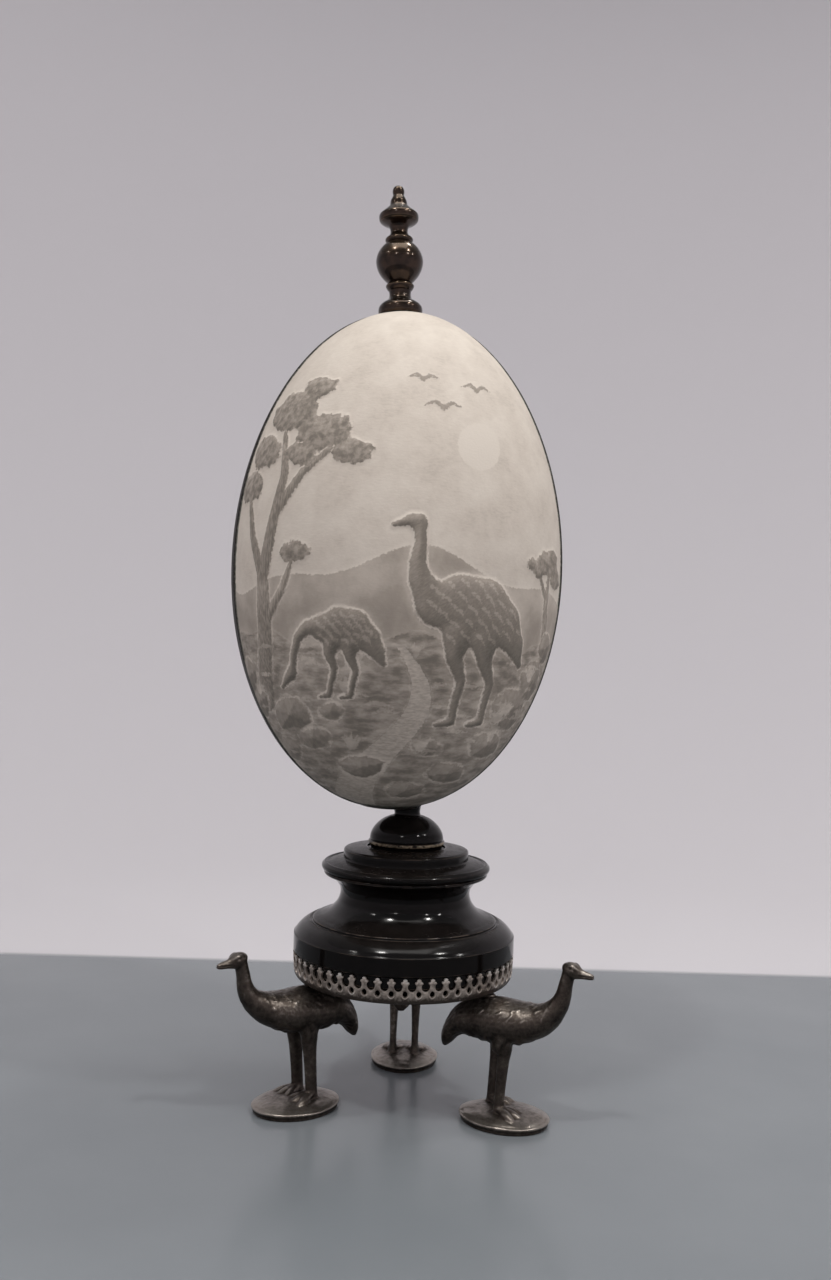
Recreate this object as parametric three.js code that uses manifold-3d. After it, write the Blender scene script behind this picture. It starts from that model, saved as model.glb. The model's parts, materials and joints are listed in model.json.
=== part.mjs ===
// A carved emu egg on its stand: the egg sits on a dark domed cup between a turned finial and an
// ebonised plinth, and three cast emus carry the pierced tray that holds the plinth.
// Millimetres, +Z up, front towards -Y. The origin is under the middle of the whole object.
import * as THREE from "three";
import { mergeVertices } from "three/addons/utils/BufferGeometryUtils.js";
import Module from "manifold-3d";

const wasm = await Module();
wasm.setup();

// Gap left between pieces that rest on each other.
const GAP = 0.3;

// Egg: an emu egg, stood on end a little to the left of the stand's axis and leaning very slightly.
const EGG_HEIGHT = 135.7;
const EGG_WIDTH = 90.0;
const EGG_BLUNTNESS = 0.037;
const EGG_BOTTOM_Z = 77.5;
const EGG_OFFSET_X = -5.2;
const EGG_LEAN = THREE.MathUtils.degToRad(0.45);
const EGG_SIDES = 32;
const EGG_RINGS = 16;

// Finial: one turned piece that stands just left of the egg's top and leans the other way.
const FINIAL_HEIGHT = 35.7;
const FINIAL_OFFSET_X = -1.8;
const FINIAL_LEAN = THREE.MathUtils.degToRad(-2.6);
const FINIAL_BASE_RADIUS = 6.0;
const FINIAL_BALL_RADIUS = 6.5;
const FINIAL_BALL_Z = 14.2;
const FINIAL_DISC_RADIUS = 5.4;
const FINIAL_SIDES = 14;

// Dome: the cup under the egg, with a bead round its base and a short neck.
const DOME_BASE_Z = 67.0;
const DOME_BEAD_RADIUS = 10.5;
const DOME_BEAD_Z = 68.7;
const DOME_TOP_Z = 76.2;
const NECK_RADIUS = 3.6;
const DOME_SIDES = 20;

// Plinth: turned wood, from the drum in the tray up to the small step under the dome. The foot of
// the drum is turned down to a seat that fits inside the tray's wall.
const PLINTH_BASE_Z = 33.5;
const DRUM_RADIUS = 30.0;
const DRUM_SEAT_RADIUS = 28.8;
const DRUM_TOP_Z = 43.4;
const GROOVE_RADIUS = 25.0;
const GROOVE_Z = 47.7;
const WAIST_RADIUS = 17.4;
const WAIST_Z = 55.0;
const RIM_RADIUS = 22.9;
const RIM_Z = 61.8;
const RIM_TOP_Z = 62.9;
const STEP_RADIUS = 17.05;
const STEP_TOP_Z = 66.6;
const PLINTH_SIDES = 32;

// Tray: a thin floor whose upturned wall is cut into a row of pointed teeth.
const TRAY_BOTTOM_Z = 32.4;
const TRAY_FLOOR = 0.8;
const TRAY_FLAT_RADIUS = 28.2;
const TRAY_RADIUS = 30.0;
const TRAY_WALL = 0.6;
const TRAY_TOP_Z = 39.2;
const TOOTH_COUNT = 54;
const NOTCH_BOTTOM_Z = 36.4;
const NOTCH_WIDTH = 1.6;
const NOTCH_MOUTH = 1.1;

// Emus: each faces the way its heading says, with its foot plate centred on its spot (X, Y).
// Its right leg is set a stride in front of its left, and its tail may hang higher than the others'.
const EMUS = [
  { name: "emu_left", x: -27.2, y: -12.0, heading: 215, stride: 1.2, tailLift: 0 },
  { name: "emu_right", x: 27.2, y: -17.0, heading: -28, stride: 4.8, tailLift: 0 },
  { name: "emu_back", x: 1.0, y: 26.5, heading: 86, stride: 0, tailLift: 4 },
];
const PLATE_HALF_LENGTH = 12.0;
const PLATE_HALF_WIDTH = 9.8;
const PLATE_EDGE = 0.7;
const PLATE_TOP = 1.4;
const LEG_SPREAD = 3.2;
const LEG_X = -2.4;
const TAIL_START = 9.0;
const TAIL_END = 18.0;
const LUG_X = -3.4;
const LUG_RADIUS = 2.0;
const TOE_ANGLES = [-30, 0, 30];
const TOE_LENGTH = 6.2;
const EMU_BODY_SIDES = 10;
const EMU_HEAD_SIDES = 8;
const LEG_SIDES = 6;
const TOE_SIDES = 5;
const PLATE_SIDES = 18;
const LUG_SIDES = 6;

// Finishes.
const finish = (color, roughness, metalness) =>
  new THREE.MeshStandardMaterial({ color, roughness, metalness });
const BRONZE = finish(0x4a3b2c, 0.35, 1.0);
const SHELL = finish(0xb9b5a4, 0.75, 0.0);
const LACQUER = finish(0x17120f, 0.25, 0.0);
const PEWTER = finish(0x6a625a, 0.45, 1.0);

const SIDEWAYS = new THREE.Vector3(0, 1, 0);

// A round piece turned about the Z axis from its half profile of [radius, height] points.
function turned(profile, sides) {
  const points = profile.map(([radius, height]) => new THREE.Vector2(radius, height));
  return new THREE.LatheGeometry(points, sides).rotateX(Math.PI / 2);
}

// Points of an arc of an ellipse, from one angle to another in degrees, without its first point.
function arc(radius, height, acrossRadius, upRadius, fromAngle, toAngle, steps) {
  return Array.from({ length: steps }, (_, i) => {
    const angle = THREE.MathUtils.degToRad(fromAngle + ((toAngle - fromAngle) * (i + 1)) / steps);
    return [radius + acrossRadius * Math.cos(angle), height + upRadius * Math.sin(angle)];
  });
}

// A closed skin over oval sections: each station is [x, y, z, half width, half height].
function loft(stations, sides) {
  const centres = stations.map(([x, y, z]) => new THREE.Vector3(x, y, z));
  const last = centres.length - 1;
  const positions = [];
  const indices = [];
  centres.forEach((centre, i) => {
    const along = centres[Math.min(i + 1, last)].clone().sub(centres[Math.max(i - 1, 0)]).normalize();
    const across = SIDEWAYS.clone().addScaledVector(along, -SIDEWAYS.dot(along)).normalize();
    const upward = along.clone().cross(across);
    const [halfWidth, halfHeight] = stations[i].slice(3);
    for (let side = 0; side < sides; side++) {
      const turn = (2 * Math.PI * side) / sides;
      const point = centre
        .clone()
        .addScaledVector(across, halfWidth * Math.cos(turn))
        .addScaledVector(upward, halfHeight * Math.sin(turn));
      positions.push(...point);
    }
  });
  for (let ring = 0; ring < last; ring++) {
    for (let side = 0; side < sides; side++) {
      const here = ring * sides + side;
      const beside = ring * sides + ((side + 1) % sides);
      indices.push(here, beside, here + sides, beside, beside + sides, here + sides);
    }
  }
  const startCap = positions.length / 3;
  positions.push(...centres[0], ...centres[last]);
  for (let side = 0; side < sides; side++) {
    const next = (side + 1) % sides;
    indices.push(startCap, next, side);
    indices.push(startCap + 1, last * sides + side, last * sides + next);
  }
  const skin = new THREE.BufferGeometry();
  skin.setAttribute("position", new THREE.Float32BufferAttribute(positions, 3));
  skin.setIndex(indices);
  return skin;
}

function solid(geometry) {
  const bare = geometry.clone();
  bare.deleteAttribute("normal");
  bare.deleteAttribute("uv");
  const merged = mergeVertices(bare, 1e-4);
  return new wasm.Manifold(
    new wasm.Mesh({
      numProp: 3,
      vertProperties: new Float32Array(merged.attributes.position.array),
      triVerts: new Uint32Array(merged.index.array),
    }),
  );
}

function geometryOf(body) {
  const { vertProperties, triVerts } = body.getMesh();
  const geometry = new THREE.BufferGeometry();
  geometry.setAttribute("position", new THREE.BufferAttribute(vertProperties, 3));
  geometry.setIndex(new THREE.BufferAttribute(triVerts, 1));
  return geometry;
}

function named(name, geometry, material) {
  const mesh = new THREE.Mesh(geometry, material);
  mesh.name = name;
  return mesh;
}

// The egg is an ellipse a little fuller towards its lower end.
function egg() {
  const profile = Array.from({ length: EGG_RINGS + 1 }, (_, ring) => {
    const angle = (Math.PI * ring) / EGG_RINGS;
    const fullness = 1 + EGG_BLUNTNESS * Math.cos(angle);
    const radius = (EGG_WIDTH / 2) * Math.sin(angle) * fullness;
    return [ring < EGG_RINGS ? radius : 0, (EGG_HEIGHT / 2) * (1 - Math.cos(angle))];
  });
  return named("egg", turned(profile, EGG_SIDES), SHELL);
}

// How far the egg's top falls away at a distance from its own axis.
function eggFall(radius) {
  const share = (2 * radius) / (EGG_WIDTH * (1 - EGG_BLUNTNESS));
  return (EGG_HEIGHT / 2) * (1 - Math.sqrt(1 - share * share));
}

// Heights are above the top of the egg, and the underside is hollowed to sit over it.
function finial() {
  const seat = GAP - eggFall(FINIAL_BASE_RADIUS + FINIAL_OFFSET_X);
  const ball = arc(0, FINIAL_BALL_Z, FINIAL_BALL_RADIUS, FINIAL_BALL_RADIUS, -64, 61, 8);
  const profile = [
    [0, GAP + 0.1],
    [3.0, GAP],
    [5.6, seat + 0.2],
    [FINIAL_BASE_RADIUS, seat + 0.9],
    [FINIAL_BASE_RADIUS, 1.9],
    [5.4, 3.0],
    [4.0, 4.2],
    [3.0, 5.7],
    [2.9, 6.8],
    [3.7, 7.5],
    [3.7, 8.1],
    ...ball,
    [3.5, 19.9],
    [3.8, 20.5],
    [3.4, 21.3],
    [2.5, 22.4],
    [2.4, 23.5],
    [2.9, 24.7],
    [4.6, 25.9],
    [FINIAL_DISC_RADIUS, 27.0],
    [4.2, 28.4],
    [2.7, 30.0],
    [1.7, 32.3],
    [1.15, 33.0],
    [1.55, 34.0],
    [1.15, 35.0],
    [0, FINIAL_HEIGHT],
  ];
  return named("finial", turned(profile, FINIAL_SIDES), BRONZE);
}

function dome() {
  const crownZ = DOME_BEAD_Z + 0.6;
  const profile = [
    [0, DOME_BASE_Z + GAP],
    [9.9, DOME_BASE_Z + GAP],
    [9.9, DOME_BEAD_Z - 0.6],
    [DOME_BEAD_RADIUS, DOME_BEAD_Z],
    [10.1, crownZ],
    ...arc(0, crownZ, 10.1, DOME_TOP_Z - crownZ, 0, 68, 6),
    [NECK_RADIUS, DOME_TOP_Z],
    [NECK_RADIUS, EGG_BOTTOM_Z - GAP],
    [0, EGG_BOTTOM_Z - GAP],
  ];
  return named("dome", turned(profile, DOME_SIDES), LACQUER);
}

function plinth() {
  const profile = [
    [0, PLINTH_BASE_Z],
    [DRUM_SEAT_RADIUS - 2.0, PLINTH_BASE_Z],
    [DRUM_SEAT_RADIUS, PLINTH_BASE_Z + 2.8],
    [DRUM_SEAT_RADIUS, TRAY_TOP_Z + GAP],
    [DRUM_RADIUS, TRAY_TOP_Z + 2 * GAP],
    [DRUM_RADIUS, DRUM_TOP_Z],
    [29.4, 44.8],
    [28.3, 46.1],
    [26.9, 47.1],
    [GROOVE_RADIUS + 0.2, GROOVE_Z - 0.1],
    [GROOVE_RADIUS, GROOVE_Z + 0.4],
    [22.8, 48.6],
    [20.2, 50.0],
    [18.1, 52.4],
    [WAIST_RADIUS, WAIST_Z],
    [17.6, 56.6],
    [18.8, 58.3],
    [22.0, 60.5],
    [RIM_RADIUS, RIM_Z],
    [22.5, RIM_TOP_Z - 0.2],
    [21.9, RIM_TOP_Z],
    [STEP_RADIUS, RIM_TOP_Z + 0.9],
    [STEP_RADIUS, STEP_TOP_Z - 0.4],
    [STEP_RADIUS - 0.4, STEP_TOP_Z],
    [11.0, DOME_BASE_Z],
    [0, DOME_BASE_Z],
  ];
  return named("plinth", turned(profile, PLINTH_SIDES), LACQUER);
}

// One keyhole notch, open at the top of the wall, standing across the wall on the +X side.
function notch() {
  const outline = new THREE.Shape([
    new THREE.Vector2(0, NOTCH_BOTTOM_Z),
    new THREE.Vector2(NOTCH_WIDTH / 2, NOTCH_BOTTOM_Z + NOTCH_WIDTH / 2),
    new THREE.Vector2(NOTCH_MOUTH / 2, TRAY_TOP_Z + 1),
    new THREE.Vector2(-NOTCH_MOUTH / 2, TRAY_TOP_Z + 1),
    new THREE.Vector2(-NOTCH_WIDTH / 2, NOTCH_BOTTOM_Z + NOTCH_WIDTH / 2),
  ]);
  const depth = 4 * TRAY_WALL;
  const cutter = new THREE.ExtrudeGeometry(outline, { depth, bevelEnabled: false });
  const inside = TRAY_RADIUS - 2.5 * TRAY_WALL;
  return cutter.rotateX(Math.PI / 2).rotateZ(Math.PI / 2).translate(inside, 0, 0);
}

function tray() {
  const floorTop = TRAY_BOTTOM_Z + TRAY_FLOOR;
  const profile = [
    [0, TRAY_BOTTOM_Z],
    [TRAY_FLAT_RADIUS, TRAY_BOTTOM_Z],
    [TRAY_RADIUS - 0.6, TRAY_BOTTOM_Z + 1.5],
    [TRAY_RADIUS, TRAY_BOTTOM_Z + 3.4],
    [TRAY_RADIUS, TRAY_TOP_Z],
    [TRAY_RADIUS - TRAY_WALL, TRAY_TOP_Z],
    [TRAY_RADIUS - TRAY_WALL, TRAY_BOTTOM_Z + 3.2],
    [TRAY_FLAT_RADIUS - 0.3, floorTop],
    [0, floorTop],
  ];
  const cutter = notch();
  let body = solid(turned(profile, TOOTH_COUNT));
  for (let tooth = 0; tooth < TOOTH_COUNT; tooth++) {
    const turn = (2 * Math.PI * tooth) / TOOTH_COUNT;
    body = body.subtract(solid(cutter.clone().rotateZ(turn)));
  }
  return named("tray", geometryOf(body), PEWTER);
}

// An emu stands facing +X, its neck raised in an S and its tail hanging behind.
const EMU_BODY = [
  [-17.6, 0, 16.3, 0.9, 0.6],
  [-16.8, 0, 18.1, 2.4, 1.6],
  [-15.4, 0, 20.8, 3.6, 2.4],
  [-13.2, 0, 23.3, 4.7, 3.5],
  [-10.0, 0, 25.0, 5.7, 4.9],
  [-6.0, 0, 25.6, 6.3, 5.6],
  [-1.5, 0, 25.7, 6.6, 5.9],
  [3.5, 0, 26.0, 6.3, 5.4],
  [8.0, 0, 27.0, 5.3, 4.5],
  [11.3, 0, 28.8, 4.1, 3.6],
  [13.8, 0, 31.4, 3.0, 2.7],
  [15.3, 0, 34.4, 2.2, 2.1],
  [16.0, 0, 37.6, 1.8, 1.8],
  [16.8, 0, 40.9, 1.7, 1.7],
];
const EMU_HEAD = [
  [15.2, 0, 41.4, 0.7, 0.7],
  [16.1, 0, 41.6, 1.5, 1.5],
  [17.8, 0, 41.6, 1.9, 1.8],
  [19.4, 0, 41.4, 1.6, 1.45],
  [21.0, 0, 41.2, 1.05, 0.95],
  [22.8, 0, 40.9, 0.55, 0.5],
  [23.6, 0, 40.8, 0.2, 0.2],
];
const LEG = [
  [LEG_X - 0.4, 24.0, 2.8, 3.6],
  [LEG_X - 0.4, 19.6, 2.1, 3.0],
  [LEG_X - 0.5, 16.6, 1.4, 2.1],
  [LEG_X - 0.3, 13.0, 1.05, 1.6],
  [LEG_X - 0.2, 8.0, 0.95, 1.4],
  [LEG_X, 4.0, 1.1, 1.5],
  [LEG_X, PLATE_TOP - 0.3, 1.6, 2.0],
];

// A side of 1 is the left leg and -1 the right, and forward is how far it is set ahead.
function leg(side, forward) {
  const y = side * LEG_SPREAD;
  return loft(LEG.map(([x, z, ...size]) => [x + forward, y, z, ...size]), LEG_SIDES);
}

function toe(side, forward, angle) {
  const turn = THREE.MathUtils.degToRad(angle);
  const stretch = [
    [0.0, 0.9, 1.0, 1.0],
    [0.7, 0.45, 0.7, 0.7],
    [1.0, 0.2, 0.25, 0.25],
  ];
  const stations = stretch.map(([share, rise, halfWidth, halfHeight]) => [
    LEG_X + forward + share * TOE_LENGTH * Math.cos(turn),
    side * LEG_SPREAD + share * TOE_LENGTH * Math.sin(turn),
    PLATE_TOP + rise,
    halfWidth,
    halfHeight,
  ]);
  return loft(stations, TOE_SIDES);
}

function footPlate() {
  const inset = 1 - 0.6 / PLATE_HALF_LENGTH;
  const profile = [
    [0, 0],
    [PLATE_HALF_LENGTH, 0],
    [PLATE_HALF_LENGTH, PLATE_EDGE],
    [PLATE_HALF_LENGTH * inset, PLATE_EDGE],
    [PLATE_HALF_LENGTH * inset, PLATE_TOP - 0.4],
    [PLATE_HALF_LENGTH * inset - 0.6, PLATE_TOP],
    [0, PLATE_TOP],
  ];
  return turned(profile, PLATE_SIDES).scale(1, PLATE_HALF_WIDTH / PLATE_HALF_LENGTH, 1);
}

// How much of the tail's lift a place along the body takes: none at the rump, all at the tip.
function tailShare(along) {
  return THREE.MathUtils.smoothstep(-along, TAIL_START, TAIL_END);
}

// The small lug on the back is what the tray is fixed to.
function lug() {
  const top = TRAY_BOTTOM_Z - GAP;
  const profile = [
    [0, top - 4],
    [LUG_RADIUS + 0.6, top - 4],
    [LUG_RADIUS, top],
    [0, top],
  ];
  return turned(profile, LUG_SIDES).translate(LUG_X, 0, 0);
}

function emu({ name, x, y, heading, stride, tailLift }) {
  const pieces = [loft(EMU_HEAD, EMU_HEAD_SIDES), footPlate(), lug()];
  for (const side of [-1, 1]) {
    const forward = (-side * stride) / 2;
    pieces.push(leg(side, forward), ...TOE_ANGLES.map((angle) => toe(side, forward, angle)));
  }
  const stations = EMU_BODY.map(([x, y, z, ...size]) => [x, y, z + tailLift * tailShare(x), ...size]);
  const start = solid(loft(stations, EMU_BODY_SIDES));
  const body = pieces.reduce((sum, piece) => sum.add(solid(piece)), start);
  const mesh = named(name, geometryOf(body), PEWTER);
  mesh.position.set(x, y, 0);
  mesh.rotation.z = THREE.MathUtils.degToRad(heading);
  return mesh;
}

const finialSeat = new THREE.Group();
finialSeat.position.set(FINIAL_OFFSET_X, 0, EGG_HEIGHT);
finialSeat.rotation.y = FINIAL_LEAN;
finialSeat.add(finial());

const eggSeat = new THREE.Group();
eggSeat.position.set(EGG_OFFSET_X, 0, EGG_BOTTOM_Z);
eggSeat.rotation.y = EGG_LEAN;
eggSeat.add(egg(), finialSeat);

const stand = new THREE.Group();
stand.add(eggSeat, dome(), plinth(), tray(), ...EMUS.map(emu));

// The stand is shifted so that the origin lies under the middle of the whole object.
stand.updateMatrixWorld(true);
const middle = new THREE.Box3().setFromObject(stand, true).getCenter(new THREE.Vector3());
stand.position.set(-middle.x, -middle.y, 0);

const object = new THREE.Group();
object.add(stand);

export default object;
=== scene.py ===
# %% [markdown]
# # A carved emu egg on its stand
#
# The blown egg of an emu, carved on one side, stands on end between a turned bronze finial and an
# ebonised plinth. The plinth sits in a pierced pewter tray, and three cast emus carry the tray.
# The plain solids of all eight pieces come in as a fixed frame, in metres, with the front towards
# -Y. Each step of this lesson gives one of them its real surface, in the place the frame gives.

# %% Load the frame
import json
import math

import bpy
import numpy as np
from mathutils import Matrix, Vector, noise


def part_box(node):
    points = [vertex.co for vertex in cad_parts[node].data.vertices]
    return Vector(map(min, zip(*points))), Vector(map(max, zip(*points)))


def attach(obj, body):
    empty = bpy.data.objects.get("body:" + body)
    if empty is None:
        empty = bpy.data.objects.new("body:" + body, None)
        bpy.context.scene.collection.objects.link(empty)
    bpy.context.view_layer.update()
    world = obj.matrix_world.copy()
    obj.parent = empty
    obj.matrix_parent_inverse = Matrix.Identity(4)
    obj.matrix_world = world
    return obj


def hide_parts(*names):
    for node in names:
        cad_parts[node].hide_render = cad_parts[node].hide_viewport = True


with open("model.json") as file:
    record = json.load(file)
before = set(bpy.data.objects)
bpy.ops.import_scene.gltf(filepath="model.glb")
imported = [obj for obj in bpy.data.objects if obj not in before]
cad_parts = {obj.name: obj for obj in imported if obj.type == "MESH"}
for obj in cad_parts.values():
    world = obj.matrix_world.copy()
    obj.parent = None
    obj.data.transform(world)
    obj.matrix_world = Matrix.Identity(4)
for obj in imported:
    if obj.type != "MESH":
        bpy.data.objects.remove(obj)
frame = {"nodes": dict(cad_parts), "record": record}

MM = 0.001
scene = bpy.context.scene
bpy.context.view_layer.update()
plinth_low, plinth_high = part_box("plinth")
AXIS_X = (plinth_low.x + plinth_high.x) / 2
AXIS_Y = (plinth_low.y + plinth_high.y) / 2
print("nodes:", sorted(frame["nodes"]))
print(f"the stand's axis is at {AXIS_X / MM:.2f}, {AXIS_Y / MM:.2f} mm")

# %% [markdown]
# ## Camera
#
# The picture is taken from close by, a little above the middle of the egg, so the rings of the
# stand show as ellipses that grow rounder towards the floor. Those ellipses give the eye's height
# and distance, and the lens follows from the size of the egg. The frame is 831 by 1280 pixels and
# the horizon in it is turned by a degree and a half, so the camera has the same small roll.

# %% Camera
FRAME_HEIGHT = 1280
FOCAL_PIXELS = 1165
SENSOR = 36.0
EYE_RIGHT = 0.9 * MM
EYE_DISTANCE = 320 * MM
EYE_HEIGHT = 119.2 * MM
EYE_PITCH = math.radians(0.836)
EYE_ROLL = math.radians(1.63)

camera = bpy.data.objects.new("camera", bpy.data.cameras.new("camera"))
camera.data.sensor_width = SENSOR
camera.data.lens = SENSOR * FOCAL_PIXELS / FRAME_HEIGHT
camera.data.clip_start = 10 * MM
eye = Matrix.Translation((AXIS_X + EYE_RIGHT, AXIS_Y - EYE_DISTANCE, EYE_HEIGHT))
level = Matrix.Rotation(math.pi / 2 + EYE_PITCH, 4, "X")
camera.matrix_world = eye @ level @ Matrix.Rotation(EYE_ROLL, 4, "Z")
scene.collection.objects.link(camera)
scene.camera = camera
print(f"lens {camera.data.lens:.1f} mm")

# %% [markdown]
# ## Helpers for shapes
#
# Most of the stand was turned on a lathe, and the emus were modelled in wax and cast. Both kinds of
# shape grow from a few listed points: a smooth curve runs through them, and rings of points
# follow the curve. A modifier such as Screw could turn a profile too, but building the rings
# directly keeps the poles closed and the faces outward with nothing left to repair.

# %% Smooth curves and turned shapes
def curve_through(points, steps):
    """A smooth curve through rows of numbers, with so many steps between neighbours."""
    points = np.asarray(points, float)
    padded = np.vstack([2 * points[0] - points[1], points, 2 * points[-1] - points[-2]])
    share = np.linspace(0, 1, steps, endpoint=False)[:, None]
    runs = []
    for before, start, end, after in zip(padded, padded[1:], padded[2:], padded[3:]):
        bend = 2 * before - 5 * start + 4 * end - after
        twist = 3 * start - before - 3 * end + after
        runs.append(start + 0.5 * ((end - before) * share + bend * share**2 + twist * share**3))
    return np.vstack([*runs, points[-1:]])


def outline(runs, steps=6):
    """One profile from smooth runs that meet in crisp corners, each from the end of the last."""
    joined = [runs[0]] + [[before[-1], *run] for before, run in zip(runs, runs[1:])]
    drawn = np.vstack([curve_through(run, steps) for run in joined])
    apart = np.linalg.norm(np.diff(drawn, axis=0), axis=1) > 1e-6
    return drawn[np.concatenate([[True], apart])]


def angles(count):
    """Equal steps round a circle."""
    return np.linspace(0, 2 * math.pi, count, endpoint=False)


def ring_faces(sides, rings):
    """Faces over rings of points, closed by the lower and the upper pole that follow them."""
    here = np.arange(sides)
    beside = (here + 1) % sides
    band = np.stack([here, beside, beside + sides, here + sides], 1)
    faces = np.concatenate([band + ring * sides for ring in range(rings - 1)]).tolist()
    pole, last = rings * sides, (rings - 1) * sides
    pairs = list(zip(here.tolist(), beside.tolist()))
    faces += [[pole, b, a] for a, b in pairs]
    faces += [[pole + 1, last + a, last + b] for a, b in pairs]
    return faces


def turned_shape(profile, sides):
    """Points and faces of a profile of (radius, height) turned about Z, from its lower pole up."""
    profile = np.asarray(profile, float)
    turn = angles(sides)
    around = np.stack([np.cos(turn), np.sin(turn)], 1)
    rings = [np.column_stack([around * r, np.full(sides, z)]) for r, z in profile[1:-1]]
    points = np.vstack([*rings, [0, 0, profile[0, 1]], [0, 0, profile[-1, 1]]])
    return points, ring_faces(sides, len(rings))


def eased(value, low, high):
    """A smooth step from 0 at low to 1 at high."""
    share = np.clip((value - low) / (high - low), 0, 1)
    return share * share * (3 - 2 * share)


def moved(points, matrix):
    """Points in millimetres, placed by a matrix."""
    turn = np.array(matrix.to_3x3())
    return np.asarray(points) @ turn.T + np.array(matrix.translation)


STAND = Matrix.Translation((AXIS_X / MM, AXIS_Y / MM, 0))
print("the stand's axis in millimetres:", [round(v, 2) for v in STAND.translation])

# %% [markdown]
# ## New objects
#
# Each object is made at the origin, with its place in its mesh. It also keeps a few numbers on its
# points for its finish to read, such as how sharp an edge is or how far a face looks up, because
# wear, dust and painted light from above follow those.

# %% Objects and what they keep
def new_piece(name, mesh, finish, crisp):
    """An object from a mesh, shaded smooth but for corners over so many degrees."""
    mesh.name = name
    mesh.polygons.foreach_set("use_smooth", np.ones(len(mesh.polygons), bool))
    mesh.set_sharp_from_angle(angle=math.radians(crisp))
    if len(mesh.materials) == 0:
        mesh.materials.append(finish)
    made = bpy.data.objects.new(name, mesh)
    scene.collection.objects.link(made)
    print(f"{name}: {sum(len(p.vertices) - 2 for p in mesh.polygons)} triangles")
    return made


def new_object(name, points, faces, finish, crisp=35):
    """An object from points in millimetres and faces."""
    mesh = bpy.data.meshes.new(name)
    mesh.from_pydata((np.asarray(points) * MM).tolist(), [], faces)
    return new_piece(name, mesh, finish, crisp)


def baked(made):
    """The mesh of an object with its modifiers applied; the object itself is taken away."""
    seen = made.evaluated_get(bpy.context.evaluated_depsgraph_get())
    mesh = bpy.data.meshes.new_from_object(seen)
    bpy.data.objects.remove(made)
    return mesh


def store(made, name, values):
    """Keeps one number per point on an object, for its finish to read."""
    kept = made.data.attributes.new(name, "FLOAT", "POINT")
    kept.data.foreach_set("value", np.asarray(values, np.float32))


def keep_facing(made):
    """Keeps on each point of an object how far it looks up, from -1 to 1."""
    normals = np.zeros(3 * len(made.data.vertices))
    made.data.vertex_normals.foreach_get("vector", normals)
    store(made, "up", normals[2::3])


def sharpness(profile):
    """How quickly a profile turns at each point, per millimetre; above zero on proud edges."""
    steps = np.diff(profile, axis=0)
    heading = np.unwrap(np.arctan2(steps[:, 1], steps[:, 0]))
    length = np.linalg.norm(steps, axis=1)
    bend = np.diff(heading) / np.maximum((length[1:] + length[:-1]) / 2, 0.12)
    return np.clip(np.concatenate([[0], bend, [0]]), -4, 4)


def new_turned(name, runs, finish, seat, sides):
    """A turned object, placed by a matrix, that keeps how sharp and how level it is everywhere."""
    profile = outline(runs)
    points, faces = turned_shape(profile, sides)
    made = new_object(name, moved(points, seat), faces, finish, crisp=28)
    bend = sharpness(profile)
    store(made, "edge", np.concatenate([np.repeat(bend[1:-1], sides), bend[[0, -1]]]))
    keep_facing(made)
    return made


print("object helpers ready")

# %% [markdown]
# ## A helper for finishes
#
# Every finish here is a tree of shader nodes. A tree is easier to read when each node is one line
# that names its kind, its settings and what feeds it, so `add` makes a node, sets plain values on
# its sockets and links the sockets that are handed to it. Colours are written as they look on
# paper, from 0 to 255, and changed to the linear values that the shader wants.

# %% Nodes for the finishes
def colour(red, green, blue):
    """A colour as it looks, from 0 to 255, in the shader's linear values."""
    shown = np.array([red, green, blue]) / 255
    linear = np.where(shown <= 0.04045, shown / 12.92, ((shown + 0.055) / 1.055) ** 2.4)
    return (*linear.tolist(), 1.0)


def plug(tree, node, inputs):
    """Gives sockets of a node their plain values, or links them to the sockets handed in."""
    for name, value in inputs.items():
        if isinstance(value, bpy.types.NodeSocket):
            tree.links.new(value, node.inputs[name])
        else:
            node.inputs[name].default_value = value


def add(tree, kind, inputs=None, **settings):
    """A new node: settings are its properties, inputs are values or sockets for its sockets."""
    made = tree.nodes.new(kind)
    for name, value in settings.items():
        setattr(made, name, value)
    plug(tree, made, inputs or {})
    return made


def new_finish(name):
    """A material with its node tree, its main shader and its Object coordinates."""
    made = bpy.data.materials.new(name)
    made.use_nodes = True
    tree = made.node_tree
    place = add(tree, "ShaderNodeTexCoord").outputs["Object"]
    return made, tree, tree.nodes["Principled BSDF"], place


def speckle(tree, place, size_mm, detail=3.0, roughness=0.5, stretch=(1, 1, 1)):
    """A noise pattern whose blotches are about so many millimetres across."""
    spread = add(tree, "ShaderNodeMapping", {"Vector": place, "Scale": stretch})
    inputs = {"Vector": spread.outputs[0], "Scale": 1 / (size_mm * MM), "Detail": detail,
              "Roughness": roughness}
    return add(tree, "ShaderNodeTexNoise", inputs).outputs["Fac"]


def ramp(tree, value, low, high, start=0.0, end=1.0):
    """A smooth step of a value, from start at low to end at high."""
    inputs = {"Value": value, "From Min": low, "From Max": high, "To Min": start, "To Max": end}
    return add(tree, "ShaderNodeMapRange", inputs, interpolation_type="SMOOTHSTEP").outputs[0]


def maths(tree, operation, first, second=0.0):
    return add(tree, "ShaderNodeMath", {0: first, 1: second}, operation=operation).outputs[0]


def times(tree, first, second):
    return maths(tree, "MULTIPLY", first, second)


def plus(tree, first, second):
    return maths(tree, "ADD", first, second)


def axes(tree, place):
    """The X, Y and Z of a place, each on its own socket."""
    return add(tree, "ShaderNodeSeparateXYZ", {0: place}).outputs


def blend_value(tree, share, first, second):
    return add(tree, "ShaderNodeMix", {0: share, 2: first, 3: second}).outputs[0]


def blend_colour(tree, share, first, second):
    made = add(tree, "ShaderNodeMix", {0: share, 6: first, 7: second}, data_type="RGBA")
    return made.outputs[2]


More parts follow.
